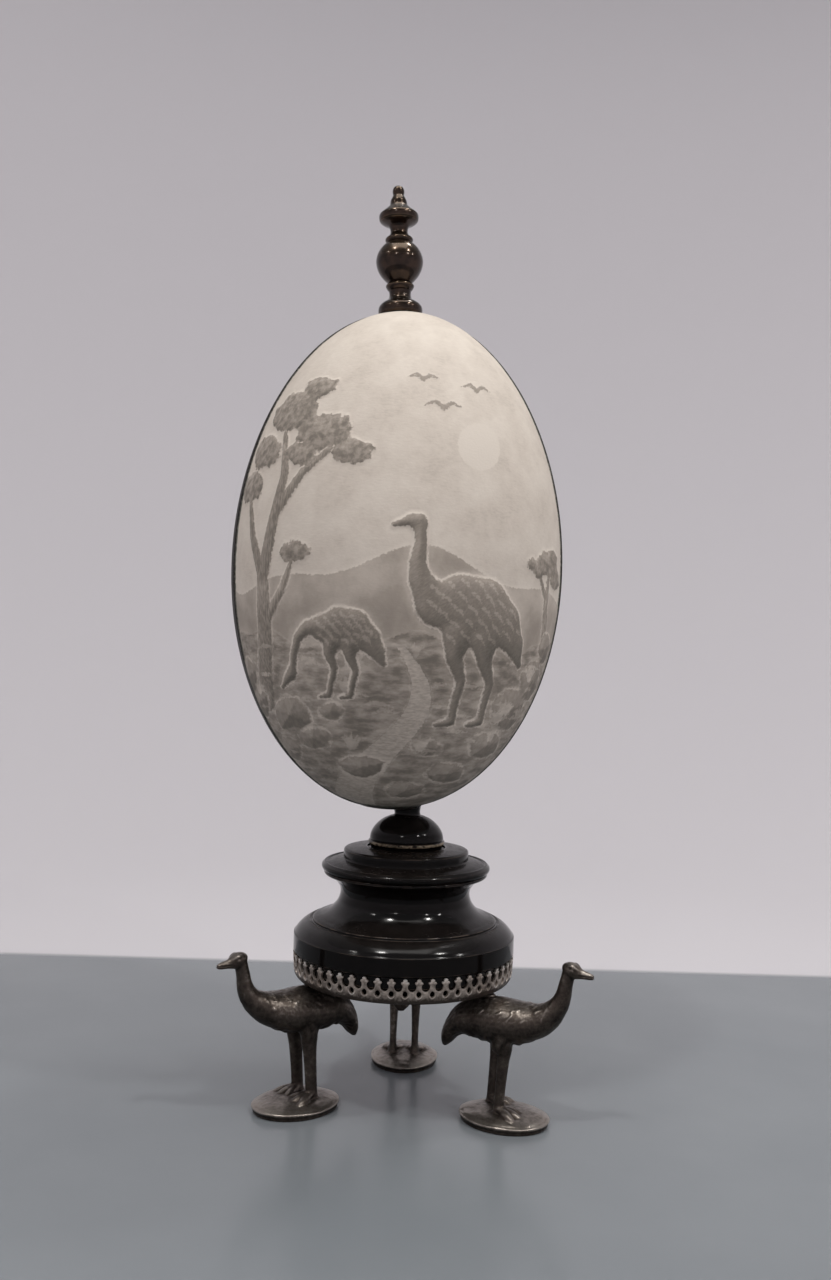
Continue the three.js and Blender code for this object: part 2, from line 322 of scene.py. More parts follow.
def colour_steps(tree, value, steps):
    """A colour for each value, from (position, colour) steps."""
    made = add(tree, "ShaderNodeValToRGB", {0: value})
    band = made.color_ramp.elements
    for place, _ in steps[2:]:
        band.new(place)
    for element, (place, shade) in zip(band, sorted(steps)):
        element.position = place
        element.color = shade
    return made.outputs["Color"]


def bumps(tree, height, depth_mm, under=None):
    """A normal from a height pattern that is so many millimetres deep."""
    inputs = {"Height": height, "Distance": depth_mm * MM, "Strength": 1.0}
    if under is not None:
        inputs["Normal"] = under
    return add(tree, "ShaderNodeBump", inputs).outputs["Normal"]


def attribute(tree, name):
    return add(tree, "ShaderNodeAttribute", attribute_name=name).outputs["Fac"]


def feed(tree, shader, **sockets):
    """Gives the main shader its patterns and values, by the names of its sockets with _ for spaces."""
    plug(tree, shader, {name.replace("_", " "): value for name, value in sockets.items()})


print("finish helpers ready")

# %% [markdown]
# ## Studio
#
# The object stands on a plain grey table before a pale wall. A round bowl whose floor curves up
# into its wall does for both: it has no corner to show, and it closes the view from every side.
# The floor keeps a darker, cooler tone up to a line behind the object, where the wall's tone
# starts. Light comes from a wide soft panel overhead and a few small ones, like the lamps of a
# shop's ceiling, which leave the white glints on the finial, the cup and the plinth.

# %% Studio bowl
FLOOR_FLAT = 330
COVE_RADIUS = 600
BOWL_TOP = 900
TABLE_EDGE = 133 * MM
TABLE_SOFT = 3 * MM
TABLE_ROUND = 400 * MM
ROUND_SOFT = 40 * MM

paper, tree, shader, place = new_finish("studio paper")
edge = AXIS_Y + TABLE_EDGE
behind = ramp(tree, axes(tree, place)["Y"], edge - TABLE_SOFT, edge + TABLE_SOFT)
from_middle = add(tree, "ShaderNodeVectorMath", {0: place}, operation="LENGTH").outputs["Value"]
outside = ramp(tree, from_middle, TABLE_ROUND, TABLE_ROUND + ROUND_SOFT)
wall_share = maths(tree, "MAXIMUM", behind, outside)
cloudy = speckle(tree, place, 60, 4)
table_tone = blend_colour(tree, cloudy, colour(119, 125, 130), colour(137, 142, 146))
tone = blend_colour(tree, wall_share, table_tone, colour(206, 203, 207))
feed(tree, shader, Base_Color=tone, Roughness=ramp(tree, wall_share, 0, 1, 0.24, 0.85))

cove = [(FLOOR_FLAT + COVE_RADIUS * math.sin(a), COVE_RADIUS * (1 - math.cos(a)))
        for a in np.linspace(0, math.pi / 2, 16)]
profile = [(0, 0), (FLOOR_FLAT / 2, 0), *cove, (cove[-1][0], BOWL_TOP), (0, BOWL_TOP)]
points, faces = turned_shape(profile, sides=96)
lid = len(points) - 1
studio = new_object("studio_bowl", points, [face for face in faces if lid not in face], paper)
studio.data.flip_normals()

# %% Lights
scene.view_settings.view_transform = "Standard"
world = bpy.data.worlds.new("soft room")
world.use_nodes = True
glow = world.node_tree.nodes["Background"].inputs
glow["Color"].default_value = colour(235, 236, 240)
glow["Strength"].default_value = 0.285
scene.world = world

PANELS = {
    "overhead": dict(place=(0.0, -0.05, 1.05), size=0.70, watts=3.5),
    "front_left": dict(place=(-0.27, -0.36, 0.95), size=0.06, watts=1.6),
    "front_right": dict(place=(0.46, -0.32, 0.86), size=0.06, watts=1.6),
    "back_right": dict(place=(0.30, 0.18, 0.98), size=0.12, watts=1.1),
    "low_right": dict(place=(0.50, -0.54, 0.66), size=0.04, watts=0.4),
    "low_left": dict(place=(-0.22, -0.74, 0.62), size=0.04, watts=0.3),
    "far_right": dict(place=(0.78, -0.30, 0.70), size=0.05, watts=0.5),
    "far_left": dict(place=(-0.66, -0.34, 0.78), size=0.04, watts=0.3),
}
AIM = Vector((AXIS_X, AXIS_Y, 0.14))
for name, panel in PANELS.items():
    lamp = bpy.data.lights.new(name, "AREA")
    lamp.size = panel["size"]
    lamp.energy = panel["watts"]
    lamp.color = (1.0, 0.98, 0.95)
    holder = bpy.data.objects.new(name, lamp)
    holder.location = Vector(panel["place"])
    holder.rotation_euler = (AIM - holder.location).to_track_quat("-Z", "Y").to_euler()
    scene.collection.objects.link(holder)
print("lights:", ", ".join(PANELS))

# %% [markdown]
# ## Ebonised wood
#
# The plinth and the domed cup are turned wood, stained black and polished. The polish is glossy, best
# on the slopes that a cloth wipes, worn to brown on the sharpest edges, with a film of dust on the
# faces that look up. Each turned piece keeps the sharpness of its profile and how far it looks up on
# its points, so the finish finds edges and slopes without any painting by hand.

# %% Black lacquer
GILT_FADE = 0.25 * MM


def lacquer(name, worn, gilt_line=None):
    """Glossy black polish, worn through on its edges, with gilding left on a line at one height."""
    made, tree, shader, place = new_finish(name)
    blotch = speckle(tree, place, 4, 4)
    fine = speckle(tree, place, 0.35, 3)
    film = speckle(tree, place, 2.5, 4, 0.6)
    edge = ramp(tree, attribute(tree, "edge"), 0.7, 2.6)
    wear = times(tree, edge, ramp(tree, blotch, 0.42, 0.60, 0.05, 0.55))
    facing = attribute(tree, "up")
    level = ramp(tree, facing, 0.55, 0.98)
    dust = times(tree, level, ramp(tree, film, 0.30, 0.75, 0.45, 0.80))
    black = blend_colour(tree, blotch, colour(8, 6, 6), colour(15, 12, 11))
    dusty = blend_colour(tree, times(tree, dust, 0.12), black, colour(90, 82, 77))
    shown = blend_colour(tree, times(tree, wear, 0.8), dusty, worn)
    if gilt_line:
        height = axes(tree, place)["Z"]
        low, high = [z * MM for z in gilt_line]
        above = ramp(tree, height, low, low + GILT_FADE)
        band = times(tree, above, ramp(tree, height, high, high - GILT_FADE))
        flakes = ramp(tree, speckle(tree, place, 0.9, 3, 0.6), 0.36, 0.56)
        rubbed = ramp(tree, speckle(tree, place, 6, 2), 0.40, 0.58, 0.12, 0.85)
        left = times(tree, times(tree, band, flakes), rubbed)
        shown = blend_colour(tree, left, shown, colour(136, 122, 103))
    gloss = plus(tree, ramp(tree, blotch, 0.3, 0.7, 0.08, 0.14), times(tree, dust, 0.22))
    ripple = bumps(tree, film, 0.012)
    wiped = times(tree, ramp(tree, facing, 0.25, 0.60), ramp(tree, facing, 0.95, 0.85))
    feed(tree, shader, Base_Color=shown, Roughness=gloss, Normal=bumps(tree, fine, 0.006, ripple))
    feed(tree, shader, Specular_IOR_Level=ramp(tree, wiped, 0, 1, 0.13, 0.28))
    return made


plinth_finish = lacquer("plinth lacquer", colour(108, 94, 83))
dome_finish = lacquer("dome lacquer", colour(96, 80, 62), gilt_line=(68.15, 69.2))
print("finishes:", plinth_finish.name, "and", dome_finish.name)

# %% [markdown]
# ## Plinth
#
# The plinth is one turned piece: a drum that stands in the tray, a rounded shoulder, a groove, a
# hollow sweep up to a waist, an overhanging rim, and a small step for the cup. On a lathe the sweep
# is one pass of a gouge and the corners are cut with a chisel, so the profile has smooth runs that
# meet in crisp corners. It is turned here in the same way, from runs of a few points, each of which
# goes on from the end of the run before it.

# %% Turn the plinth
PLINTH_BASE = 33.5
TRAY_TOP = 39.2
DRUM_SEAT = 28.8
DRUM = 30.0
plinth_runs = [
    [(0, PLINTH_BASE), (DRUM_SEAT - 2, PLINTH_BASE)],
    [(DRUM_SEAT, PLINTH_BASE + 2.8)],
    [(29.2, 36.6), (29.3, TRAY_TOP)],
    [(DRUM - 0.1, TRAY_TOP + 0.5), (DRUM, TRAY_TOP + 0.8), (DRUM, 43.8)],
    [(29.97, 44.1), (29.75, 44.3)],
    [(29.1, 45.25), (28.1, 46.25), (27.0, 47.0), (25.9, 47.55)],
    [(25.3, 47.35), (25.0, 47.55)],
    [(24.9, 48.0), (24.2, 48.35)],
    [(22.6, 48.9), (20.2, 50.3), (18.35, 52.5), (17.65, 54.8), (17.9, 56.6), (18.95, 58.2)],
    [(20.3, 59.2), (21.5, 59.95)],
    [(21.95, 59.95), (22.25, 60.25), (22.2, 60.65), (21.95, 60.8)],
    [(22.6, 61.2), (22.95, 61.85), (22.88, 62.5), (22.4, 63.0)],
    [(22.1, 63.25), (21.7, 63.25), (21.4, 63.05)],
    [(19.6, 63.6), (17.3, 64.1)],
    [(17.05, 64.3), (17.05, 66.15), (16.85, 66.6), (16.5, 66.8)],
    [(13.4, 67.2), (10.7, 67.4)],
    [(10.5, 67.0), (0, 67.0)],
]
plinth = new_turned("turned_plinth", plinth_runs, plinth_finish, STAND, sides=160)
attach(plinth, "root")
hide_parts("plinth")

# %% [markdown]
# ## Domed cup
#
# The cup that carries the egg is a low dome with a bead round its foot, rubbed to a brassy line,
# and a short neck under the egg. It is another turned piece and uses the same helpers. The egg rests a
# little to the left of the neck's middle, so the neck's top is cut to follow the curve of the shell.

# %% Turn the cup
NECK = 3.6
NECK_FOOT = 75.9
NECK_TOP = 77.2
NECK_GAP = 0.1
EGG_BOTTOM = 77.5
EGG_OFFSET_X = -5.2
EGG_CURVE = 33.2
dome_runs = [
    [(0, 67.05), (9.7, 67.05)],
    [(9.75, 67.6), (9.9, 68.1)],
    [(10.35, 68.35), (10.5, 68.7), (10.35, 69.05), (10.0, 69.25)],
    [(10.05, 69.9), (9.75, 71.2), (9.05, 72.5), (7.9, 73.8), (6.4, 74.9), (4.6, 75.7)],
    [(3.8, NECK_FOOT), (NECK - 0.1, 76.3), (NECK, 76.8), (NECK + 0.2, NECK_TOP)],
    [(0, NECK_TOP)],
]
dome = new_turned("domed_cup", dome_runs, dome_finish, STAND, sides=112)
for point in dome.data.vertices:
    raised = min(max((point.co.z / MM - NECK_FOOT) / (NECK_TOP - NECK_FOOT), 0), 1)
    from_egg = math.hypot(point.co.x - AXIS_X - EGG_OFFSET_X * MM, point.co.y - AXIS_Y) / MM
    to_shell = EGG_BOTTOM - NECK_GAP - NECK_TOP + from_egg ** 2 / (2 * EGG_CURVE)
    point.co.z += raised * to_shell * MM
print(f"the cup's neck rises to {max(p.co.z for p in dome.data.vertices) / MM:.2f} mm")
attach(dome, "root")
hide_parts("dome")

# %% [markdown]
# ## Finial
#
# A bronze finial tops the egg: a bell-shaped foot, a collar, a ball, a ring, a spinning-top disc and
# a little knob. It stands just off the egg's top and leans by about three degrees, as the real one
# does, so it is turned about its own axis first and then placed on the egg. Bronze that has been
# handled for a century is dark brown, with the bare metal showing through on the ridges. Faces that
# look up are painted lighter, as light from above falls on them: fully from the ball up, and only
# about a third as much on the foot, which stays darker.

# %% Bronze
FOOT_TOP = 216 * MM
BALL_FOOT = 221 * MM

bronze, tree, shader, place = new_finish("dark bronze")
blotch = speckle(tree, place, 2.2, 4)
fine = speckle(tree, place, 0.25, 3)
ridge = ramp(tree, attribute(tree, "edge"), 0.35, 1.6)
rubbed = times(tree, ridge, ramp(tree, blotch, 0.3, 0.6, 0.4, 1.0))
brown = blend_colour(tree, ramp(tree, blotch, 0.35, 0.65), colour(39, 29, 23), colour(57, 43, 34))
# Painted light: faces that look up get a lighter brown, as light from above falls on them; on the foot,
# below the ball, only about a third of it.
painted_top_light = ramp(tree, attribute(tree, "up"), -0.1, 0.85, 0.0, 0.55)
reach = ramp(tree, axes(tree, place)["Z"], FOOT_TOP, BALL_FOOT, 0.35, 1.0)
painted_top_light = times(tree, painted_top_light, reach)
brown_with_top_light = blend_colour(tree, painted_top_light, brown, colour(104, 88, 70))
shown = blend_colour(tree, times(tree, rubbed, 0.45), brown_with_top_light, colour(122, 103, 80))
dull = maths(tree, "SUBTRACT", ramp(tree, blotch, 0.3, 0.7, 0.15, 0.27), times(tree, rubbed, 0.04))
feed(tree, shader, Base_Color=shown, Roughness=dull, Normal=bumps(tree, fine, 0.004))
feed(tree, shader, Metallic=0.9, Coat_Weight=0.30, Coat_Roughness=0.06)
print("finish:", bronze.name)

# %% Turn the finial
EGG_HEIGHT = 136.3
EGG_LEAN = math.radians(0.45)
FINIAL_OFFSET_X = -1.66
FINIAL_SINK = 0.6
FINIAL_LEAN = math.radians(-3.0)
egg_foot = Matrix.Translation((EGG_OFFSET_X, 0, EGG_BOTTOM))
EGG_SEAT = STAND @ egg_foot @ Matrix.Rotation(EGG_LEAN, 4, "Y")
finial_foot = Matrix.Translation((FINIAL_OFFSET_X, 0, EGG_HEIGHT - FINIAL_SINK))
FINIAL_SEAT = EGG_SEAT @ finial_foot @ Matrix.Rotation(FINIAL_LEAN, 4, "Y")
finial_runs = [
    [(0, 0.62), (3.0, 0.44), (5.75, -0.06)],
    [(6.02, 0.5), (6.1, 1.25), (5.96, 2.05), (5.5, 2.75), (4.8, 3.35)],
    [(4.3, 3.6), (3.6, 4.05), (3.12, 4.75), (2.97, 5.6), (3.05, 6.6)],
    [(3.4, 7.0), (3.8, 7.65), (3.9, 8.1), (3.6, 8.55), (3.2, 8.8)],
    [(4.4, 10.0), (5.4, 11.25), (6.1, 12.7), (6.5, 14.55), (6.25, 16.35), (5.45, 18.0),
     (4.5, 19.15), (3.4, 20.0)],
    [(3.65, 20.3), (3.85, 20.8), (3.72, 21.25), (3.3, 21.6)],
    [(2.7, 22.2), (2.42, 22.9), (2.5, 23.9), (2.9, 24.7)],
    [(3.5, 25.0), (4.4, 25.4), (5.1, 25.9)],
    [(5.36, 26.3), (5.46, 26.9), (5.44, 27.5), (5.3, 27.9)],
    [(4.7, 28.45), (4.0, 29.0), (3.3, 29.6), (2.7, 30.15)],
    [(2.42, 30.6), (2.3, 31.3), (2.15, 31.9), (1.75, 32.7), (1.42, 33.3)],
    [(1.6, 33.9), (1.62, 34.5), (1.4, 35.2), (0.85, 35.75), (0, 36.0)],
]
finial = new_turned("bronze_finial", finial_runs, bronze, FINIAL_SEAT, sides=96)
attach(finial, "root")
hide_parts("finial")

# %% [markdown]
# ## Egg
#
# An emu's shell is dark green outside, teal a little deeper and white within, so a carver draws in
# tones by cutting to different depths: the sky is scraped down to the cream layer, figures keep
# more of the grey, and the outlines are cut as fine pale lines. The design here is a quiet piece of
# bush: a gum tree, two emus, hills, boulders and a creek.
#
# An image texture would be the quick way, but the relief would be missing. Here each motif is a
# distance, in millimetres, from every point of the shell to the motif's outline. The same distances
# lower the shell by code and, stored on its points, let the finish cut clean edges between points.

# %% The shell as a grid
EGG_WIDTH = 90.0
EGG_BLUNTNESS = 0.037
EGG_ROWS = 284
FRONT_COLUMNS = 268
BACK_COLUMNS = 52
FRONT_HALF = math.radians(82)

front = np.linspace(-FRONT_HALF, FRONT_HALF, FRONT_COLUMNS + 1)
back = np.linspace(FRONT_HALF, 2 * math.pi - FRONT_HALF, BACK_COLUMNS + 1)[1:-1]
columns = np.concatenate([front, back])
climb = np.linspace(0, math.pi, EGG_ROWS + 1)[1:-1]
ANGLE, CLIMB = [grid.ravel() for grid in np.meshgrid(columns, climb)]
FULLNESS = 1 + EGG_BLUNTNESS * np.cos(CLIMB)
RADIUS = EGG_WIDTH / 2 * np.sin(CLIMB) * FULLNESS
Z = EGG_HEIGHT / 2 * (1 - np.cos(CLIMB))
AROUND = np.where(ANGLE > math.pi, ANGLE - 2 * math.pi, ANGLE)
S = RADIUS * AROUND
print(f"{len(S)} points on the shell; S runs round it from the front, Z runs up it, both in mm")

# %% Strokes and ovals for the carving
def oval(s, z, half_s, half_z):
    """How far outside an oval each point is; less than nothing inside it."""
    return (np.hypot((S - s) / half_s, (Z - z) / half_z) - 1) * min(half_s, half_z)


def limb(*joints):
    """A run of tapering strokes through joints of (s, z, half width)."""
    nearest = np.full(len(S), 99.0)
    for (s0, z0, w0), (s1, z1, w1) in zip(joints, joints[1:]):
        run, rise = s1 - s0, z1 - z0
        share = np.clip(((S - s0) * run + (Z - z0) * rise) / (run * run + rise * rise), 0, 1)
        gap = np.hypot(S - s0 - share * run, Z - z0 - share * rise) - (w0 + share * (w1 - w0))
        nearest = np.minimum(nearest, gap)
    return nearest


def melt(first, second, reach):
    """Two shapes joined with a soft inside corner."""
    share = np.clip(0.5 + 0.5 * (second - first) / reach, 0, 1)
    return second + (first - second) * share - reach * share * (1 - share)


def roughness(size, seed):
    """Noise over the shell, between about -1 and 1, with blotches of so many millimetres."""
    step = 1 / size
    return np.array([noise.noise((s * step, z * step, seed)) for s, z in zip(S, Z)])


ragged = roughness(1.6, 3.0)
patchy = roughness(5.5, 8.0)
broad = roughness(16.0, 1.0)
print("noise between", ragged.min().round(2), "and", ragged.max().round(2))

# %% Two emus
BODY = [
    (-6, 29.5, 5.0), (0, 30.5, 7.0), (7, 29.5, 7.5), (13, 26, 5.8), (17.5, 21, 3.4), (20, 16.0, 1.0),
]
NECK_UP = [
    (-7.5, 31, 4.6), (-10.6, 35.6, 2.9), (-11.6, 40.0, 1.95), (-11.0, 44.5, 1.5), (-11.2, 48.4, 1.45),
]
HEAD_UP = [(-11.5, 50.0, 1.9), (-13.4, 50.3, 1.6), (-15.3, 49.8, 0.95), (-18.0, 48.9, 0.42)]
BODY_LOW = [
    (-4, 27, 5.0), (2, 28.5, 6.8), (8.5, 27.5, 6.9), (14, 23.5, 5.0), (18, 18.5, 2.9), (20.5, 14, 0.9),
]
NECK_DOWN = [
    (-6, 27.6, 4.2), (-11.5, 27.3, 2.6), (-16.0, 23.6, 1.9), (-18.0, 17.5, 1.5), (-18.8, 11.5, 1.45),
]
HEAD_DOWN = [(-19.6, 8.8, 2.5), (-21.4, 7.2, 2.1), (-23.4, 5.1, 1.2), (-25.4, 2.9, 0.55)]
NEAR_LEG = [
    (-0.5, 23, 4.4), (-1.4, 17.5, 2.2), (0.9, 11.5, 1.15), (-0.6, 5.5, 0.95), (-1.2, 1.0, 0.95),
    (-5.4, 0, 0.45),
]
FAR_LEG = [
    (7, 22, 4.6), (7.4, 16.5, 2.1), (9.7, 11.0, 1.15), (8.3, 5.2, 0.95), (7.7, 1.0, 0.95), (3.6, 0.1, 0.45),
]


def carved_emu(s, z, size, body, neck, head):
    """An emu facing left, its feet at (s, z), drawn at a share of its full size."""
    shape = None
    for joints in (body, neck, head, NEAR_LEG, FAR_LEG):
        part = limb(*[(s + a * size, z + b * size, w * size) for a, b, w in joints])
        shape = part if shape is None else melt(shape, part, 1.6 * size)
    return shape


def plumes(s, z, size):
    """Pale strokes that hang from the back of a carved emu, row under row."""
    nearest = np.full(len(S), 99.0)
    for row, count in enumerate((6, 7, 7, 6, 4)):
        for place in range(count):
            a = -8.0 + 3.9 * place - 1.9 * (row % 2) + 1.1 * row
            b = 36.6 - 3.3 * row - 0.022 * (a - 2) ** 2
            strand = [(a, b, 0.45), (a + 1.6, b - 1.0, 0.45), (a + 2.9, b - 2.9, 0.15)]
            placed = [(s + p * size, z + q * size, w) for p, q, w in strand]
            nearest = np.minimum(nearest, limb(*placed))
    return nearest


STANDING = (17, 25, 0.98)
GRAZING = (-14.5, 31, 0.62)
standing = carved_emu(*STANDING, BODY, NECK_UP, HEAD_UP)
grazing = carved_emu(*GRAZING, BODY_LOW, NECK_DOWN, HEAD_DOWN)
emus = np.minimum(standing, grazing) + 0.10 * ragged
strands = np.maximum(np.minimum(plumes(*STANDING), plumes(*GRAZING)), emus + 0.7)
print("emus cover", round(100 * float((emus < 0).mean()), 1), "% of the points")

# %% Gum trees
TRUNKS = [
    [(-38.5, 30, 3.8), (-36.6, 45, 2.9), (-37.6, 60, 2.4), (-34.2, 74, 1.9), (-31, 86, 1.4),
     (-32.5, 97, 0.9)],
    [(-37.4, 60, 1.9), (-43, 71, 1.4), (-46, 81, 0.9)],
    [(-33.6, 76, 1.6), (-25, 86, 1.1), (-17, 92, 0.7)],
    [(-36.8, 48, 1.6), (-30, 57, 1.0), (-27, 64, 0.6)],
    [(49, 46, 1.7), (47.6, 56, 1.3), (48.5, 64, 0.8)],
    [(47.7, 57, 1.0), (43, 64, 0.6)],
]
CLUMPS = [
    (-46.5, 84, 6.5, 4.2), (-41, 93, 7.5, 4.6), (-31, 103, 9.5, 5.4), (-19.5, 96.5, 8.5, 4.6),
    (-11.5, 91, 5.5, 3.2), (-26, 91, 5.5, 3.0), (-26, 66, 4.4, 2.6), (-22, 109, 5.5, 3.0),
    (48.5, 67, 6.5, 3.6), (42, 65.5, 4.4, 2.5), (54, 63.5, 4.5, 2.8),
]
trunks = np.minimum.reduce([limb(*joints) for joints in TRUNKS]) + 0.18 * ragged
leaves = np.minimum.reduce([oval(*clump) for clump in CLUMPS]) + 0.9 * ragged + 0.8 * patchy
trees = np.minimum(trunks, leaves)
print("trees:", len(TRUNKS), "boughs and", len(CLUMPS), "clumps of leaves")

# %% Hills, ground, creek and sky
hills = 0.85 * (Z - (62 + 4.5 * np.sin(S / 15 + 1.2) + 2.0 * np.sin(S / 6.3 + 0.4)))
ground = 0.9 * (Z - (45 + 1.8 * np.sin(S / 8.0 + 0.5) + 1.0 * np.sin(S / 3.1)))
depth = np.clip(45 - Z, 0, None)
creek = np.abs(S - (1.5 + 7.5 * np.sin(depth / 8.5) - 0.1 * depth)) - (0.9 + 0.13 * depth)
creek = np.maximum(creek, Z - 44) + 0.25 * ragged
sun = oval(21, 94, 6.2, 6.2)
BIRDS = [(11, 103, 3.4), (20, 109, 3.0), (5.5, 110.5, 2.7)]
birds = np.full(len(S), 99.0)
for s, z, wing in BIRDS:
    for side in (-1, 1):
        bend = (s + side * 0.6 * wing, z + 0.5 * wing, 0.5)
        tip = (s + side * 1.5 * wing, z + 0.15 * wing, 0.15)
        birds = np.minimum(birds, limb((s, z, 0.62), bend, tip))
print("birds:", len(BIRDS))

# %% Boulders and grass
BOULDERS = [
    (-49, 35, 6.0, 5.0), (-43.5, 28.5, 5.6, 3.9), (-28, 26, 6.8, 4.4), (-20.5, 20.5, 5.0, 3.0),
    (36, 29, 7.8, 5.4), (45, 36.5, 6.4, 5.2), (28.5, 19.5, 6.2, 3.6), (51, 45, 4.4, 4.0),
    (-7, 13.5, 5.4, 2.9), (16, 12, 5.4, 2.8), (-31, 16.5, 4.8, 3.0), (4.5, 7.2, 4.6, 2.2),
    (9.5, 19, 3.6, 2.1), (-15, 27.5, 3.2, 1.9),
]
FACETS = 7
draw = np.random.default_rng(11)
boulders = np.full(len(S), 99.0)
facet_light = np.zeros(len(S))
for s, z, half_s, half_z in BOULDERS:
    facing = angles(FACETS) + draw.uniform(-0.38, 0.38, FACETS)
    u, v = (S - s) / half_s, (Z - z) / half_z
    slopes = np.array([u * math.cos(a) + v * math.sin(a) for a in facing])
    shape = (0.35 * np.hypot(u, v) + 0.65 * slopes.max(0) - 0.95) * min(half_s, half_z)
    tones = 0.13 * np.sin(facing) - 0.08 * np.cos(facing) + draw.uniform(-0.03, 0.03, FACETS)
    on_top = (shape < boulders) & (shape < 0.2)
    facet_light = np.where(on_top, tones[slopes.argmax(0)], facet_light)
    boulders = np.minimum(boulders, shape)
boulders += 0.22 * ragged + 0.3 * patchy

TUFTS = 12
BLADES = 5
WISPS = 46
grass = np.full(len(S), 99.0)
for _ in range(TUFTS):
    z = draw.uniform(14, 42)
    s = draw.uniform(-0.95, 1.0) * (24 + 0.75 * z)
    tall = draw.uniform(3.0, 4.6)
    for lean in np.linspace(-1, 1, BLADES) + draw.uniform(-0.15, 0.15, BLADES):
        bend = (s + 1.6 * lean, z + 0.6 * tall, 0.44)
        tip = (s + 3.4 * lean, z + tall * (1.1 - 0.4 * abs(lean)), 0.12)
        grass = np.minimum(grass, limb((s + 0.6 * lean, z, 0.50), bend, tip))
for _ in range(WISPS):
    z = draw.uniform(6, 43)
    s = draw.uniform(-0.95, 1.0) * (18 + 0.9 * z)
    reach, arch = draw.uniform(2.0, 5.0), draw.uniform(-0.4, 1.4)
    crest = (s - 0.3 * reach, z + arch, 0.55)
    grass = np.minimum(grass, limb((s - reach, z, 0.1), crest, (s + reach, z + 0.2 * arch, 0.1)))
grass = np.maximum(grass, 0.4 - creek)
print("boulders:", len(BOULDERS), "tufts of grass:", TUFTS, "wisps:", WISPS)

# %% The edge of the carved panel
PANEL_LEFT = math.radians(-71.5)
PANEL_RIGHT = math.radians(80.5)
PANEL_FOOT = 1.3
panel = np.maximum((AROUND - PANEL_RIGHT) * RADIUS, (PANEL_LEFT - AROUND) * RADIUS)
panel = np.maximum(panel, 1.6 * (PANEL_FOOT - Z)) + 0.25 * patchy + 0.12 * ragged
print("the panel covers", round(100 * float((panel < 0).mean()), 1), "% of the points")

# %% Cut the relief
def inside(shape, soft):
    """1 inside a shape and 0 outside, over a soft edge of so many millimetres."""
    return eased(-shape / soft, -0.5, 0.5)


def groove(shape, width):
    """A fine cut just outside a shape's outline."""
    return np.exp(-(((shape - 0.45) / width) ** 2))


SKY_DEPTH = 0.50
level_cut = np.full(len(S), SKY_DEPTH) + 0.05 * patchy + 0.04 * broad
CUTS = (
    (hills, 0.40, 1.2), (ground, 0.34, 1.6), (creek, 0.44, 1.4), (boulders, 0.20, 1.5),
    (trees, 0.22, 1.0), (birds, 0.36, 0.6), (grass, 0.26, 0.5), (emus, 0.10, 1.0),
)
for shape, cut, soft in CUTS:
    keep = inside(shape, soft)
    level_cut = level_cut * (1 - keep) + cut * keep
for shape, deep in ((emus, 0.12), (boulders, 0.08), (trunks, 0.07), (strands, 0.05)):
    level_cut += deep * groove(shape, 0.5)
dome_of = np.clip(-np.minimum.reduce([emus, boulders, trees + 0.6]), 0, 2.5)
level_cut -= 0.05 * dome_of
level_cut += 0.05 * ragged * inside(np.minimum(ground, trees), 0.5)
cut = level_cut * inside(panel, 1.3)

rise_r = EGG_WIDTH / 2 * (np.cos(CLIMB) * FULLNESS - EGG_BLUNTNESS * np.sin(CLIMB) ** 2)
rise_z = EGG_HEIGHT / 2 * np.sin(CLIMB)
length = np.hypot(rise_r, rise_z)
shell_radius = RADIUS - cut * rise_z / length
shell_z = Z + cut * rise_r / length
shell = np.column_stack([shell_radius * np.sin(ANGLE), -shell_radius * np.cos(ANGLE), shell_z])
print(f"the deepest cut is {cut.max():.2f} mm")

# %% Build the shell
points = np.vstack([shell, [0, 0, 0], [0, 0, EGG_HEIGHT]])
faces = ring_faces(len(columns), len(climb))
crown = len(points) - 1
print(f"{len(points)} points, {len(faces)} faces")

# %% [markdown]
# ## The shell's finish
#
# The finish reads the stored distances. Each layer starts with a ragged edge, because a carver's
# knife leaves one, then fills the inside with the layer's tone and draws a pale line just outside
# it. Tone 0 is the grey-green just under the skin and tone 1 the cream of the deepest cut, so one
# band of colours serves the whole scene. Outside the panel the shell keeps its pebbled dark skin.

# %% Carved shell
shell_finish, tree, shader, place = new_finish("carved shell")
knife = speckle(tree, place, 0.7, 3)
cloud = speckle(tree, place, 9, 4, 0.6)
scrape = speckle(tree, place, 1.5, 4, 0.6, (1, 1, 3.2))
upright = speckle(tree, place, 1.4, 3, 0.55, (3.0, 3.0, 0.7))
drift = speckle(tree, place, 5, 5, 0.6, (1, 1, 2.6))
dabs = speckle(tree, place, 1.7, 3, 0.6)
slanted = add(tree, "ShaderNodeMapping", {"Vector": place, "Rotation": (0, math.radians(35), 0)})
plume = speckle(tree, slanted.outputs[0], 1.2, 3, 0.55, (1, 2.4, 3.4))
knife_edge = ramp(tree, knife, 0.25, 0.75, -0.22, 0.22)


def layer(tone, name, value, strokes, swing, line):
    """Lays one motif over the tone so far: its fill, its strokes and the pale line round it."""
    gap = plus(tree, attribute(tree, name), knife_edge)
    fill = ramp(tree, gap, 0.16, -0.16)
    ring = ramp(tree, maths(tree, "ABSOLUTE", maths(tree, "SUBTRACT", gap, 0.40)), 0.42, 0.10)
    uneven = ramp(tree, drift, 0.35, 0.60, 0.45 * line, line)
    glow = ramp(tree, gap, 2.8, 0.2, 0.0, 0.30 * line)
    pale = maths(tree, "MAXIMUM", times(tree, ring, uneven), glow)
    lined = blend_value(tree, pale, tone, 0.90)
    stroke = plus(tree, ramp(tree, strokes, 0.3, 0.7, -swing, swing), value)
    return blend_value(tree, fill, lined, stroke)


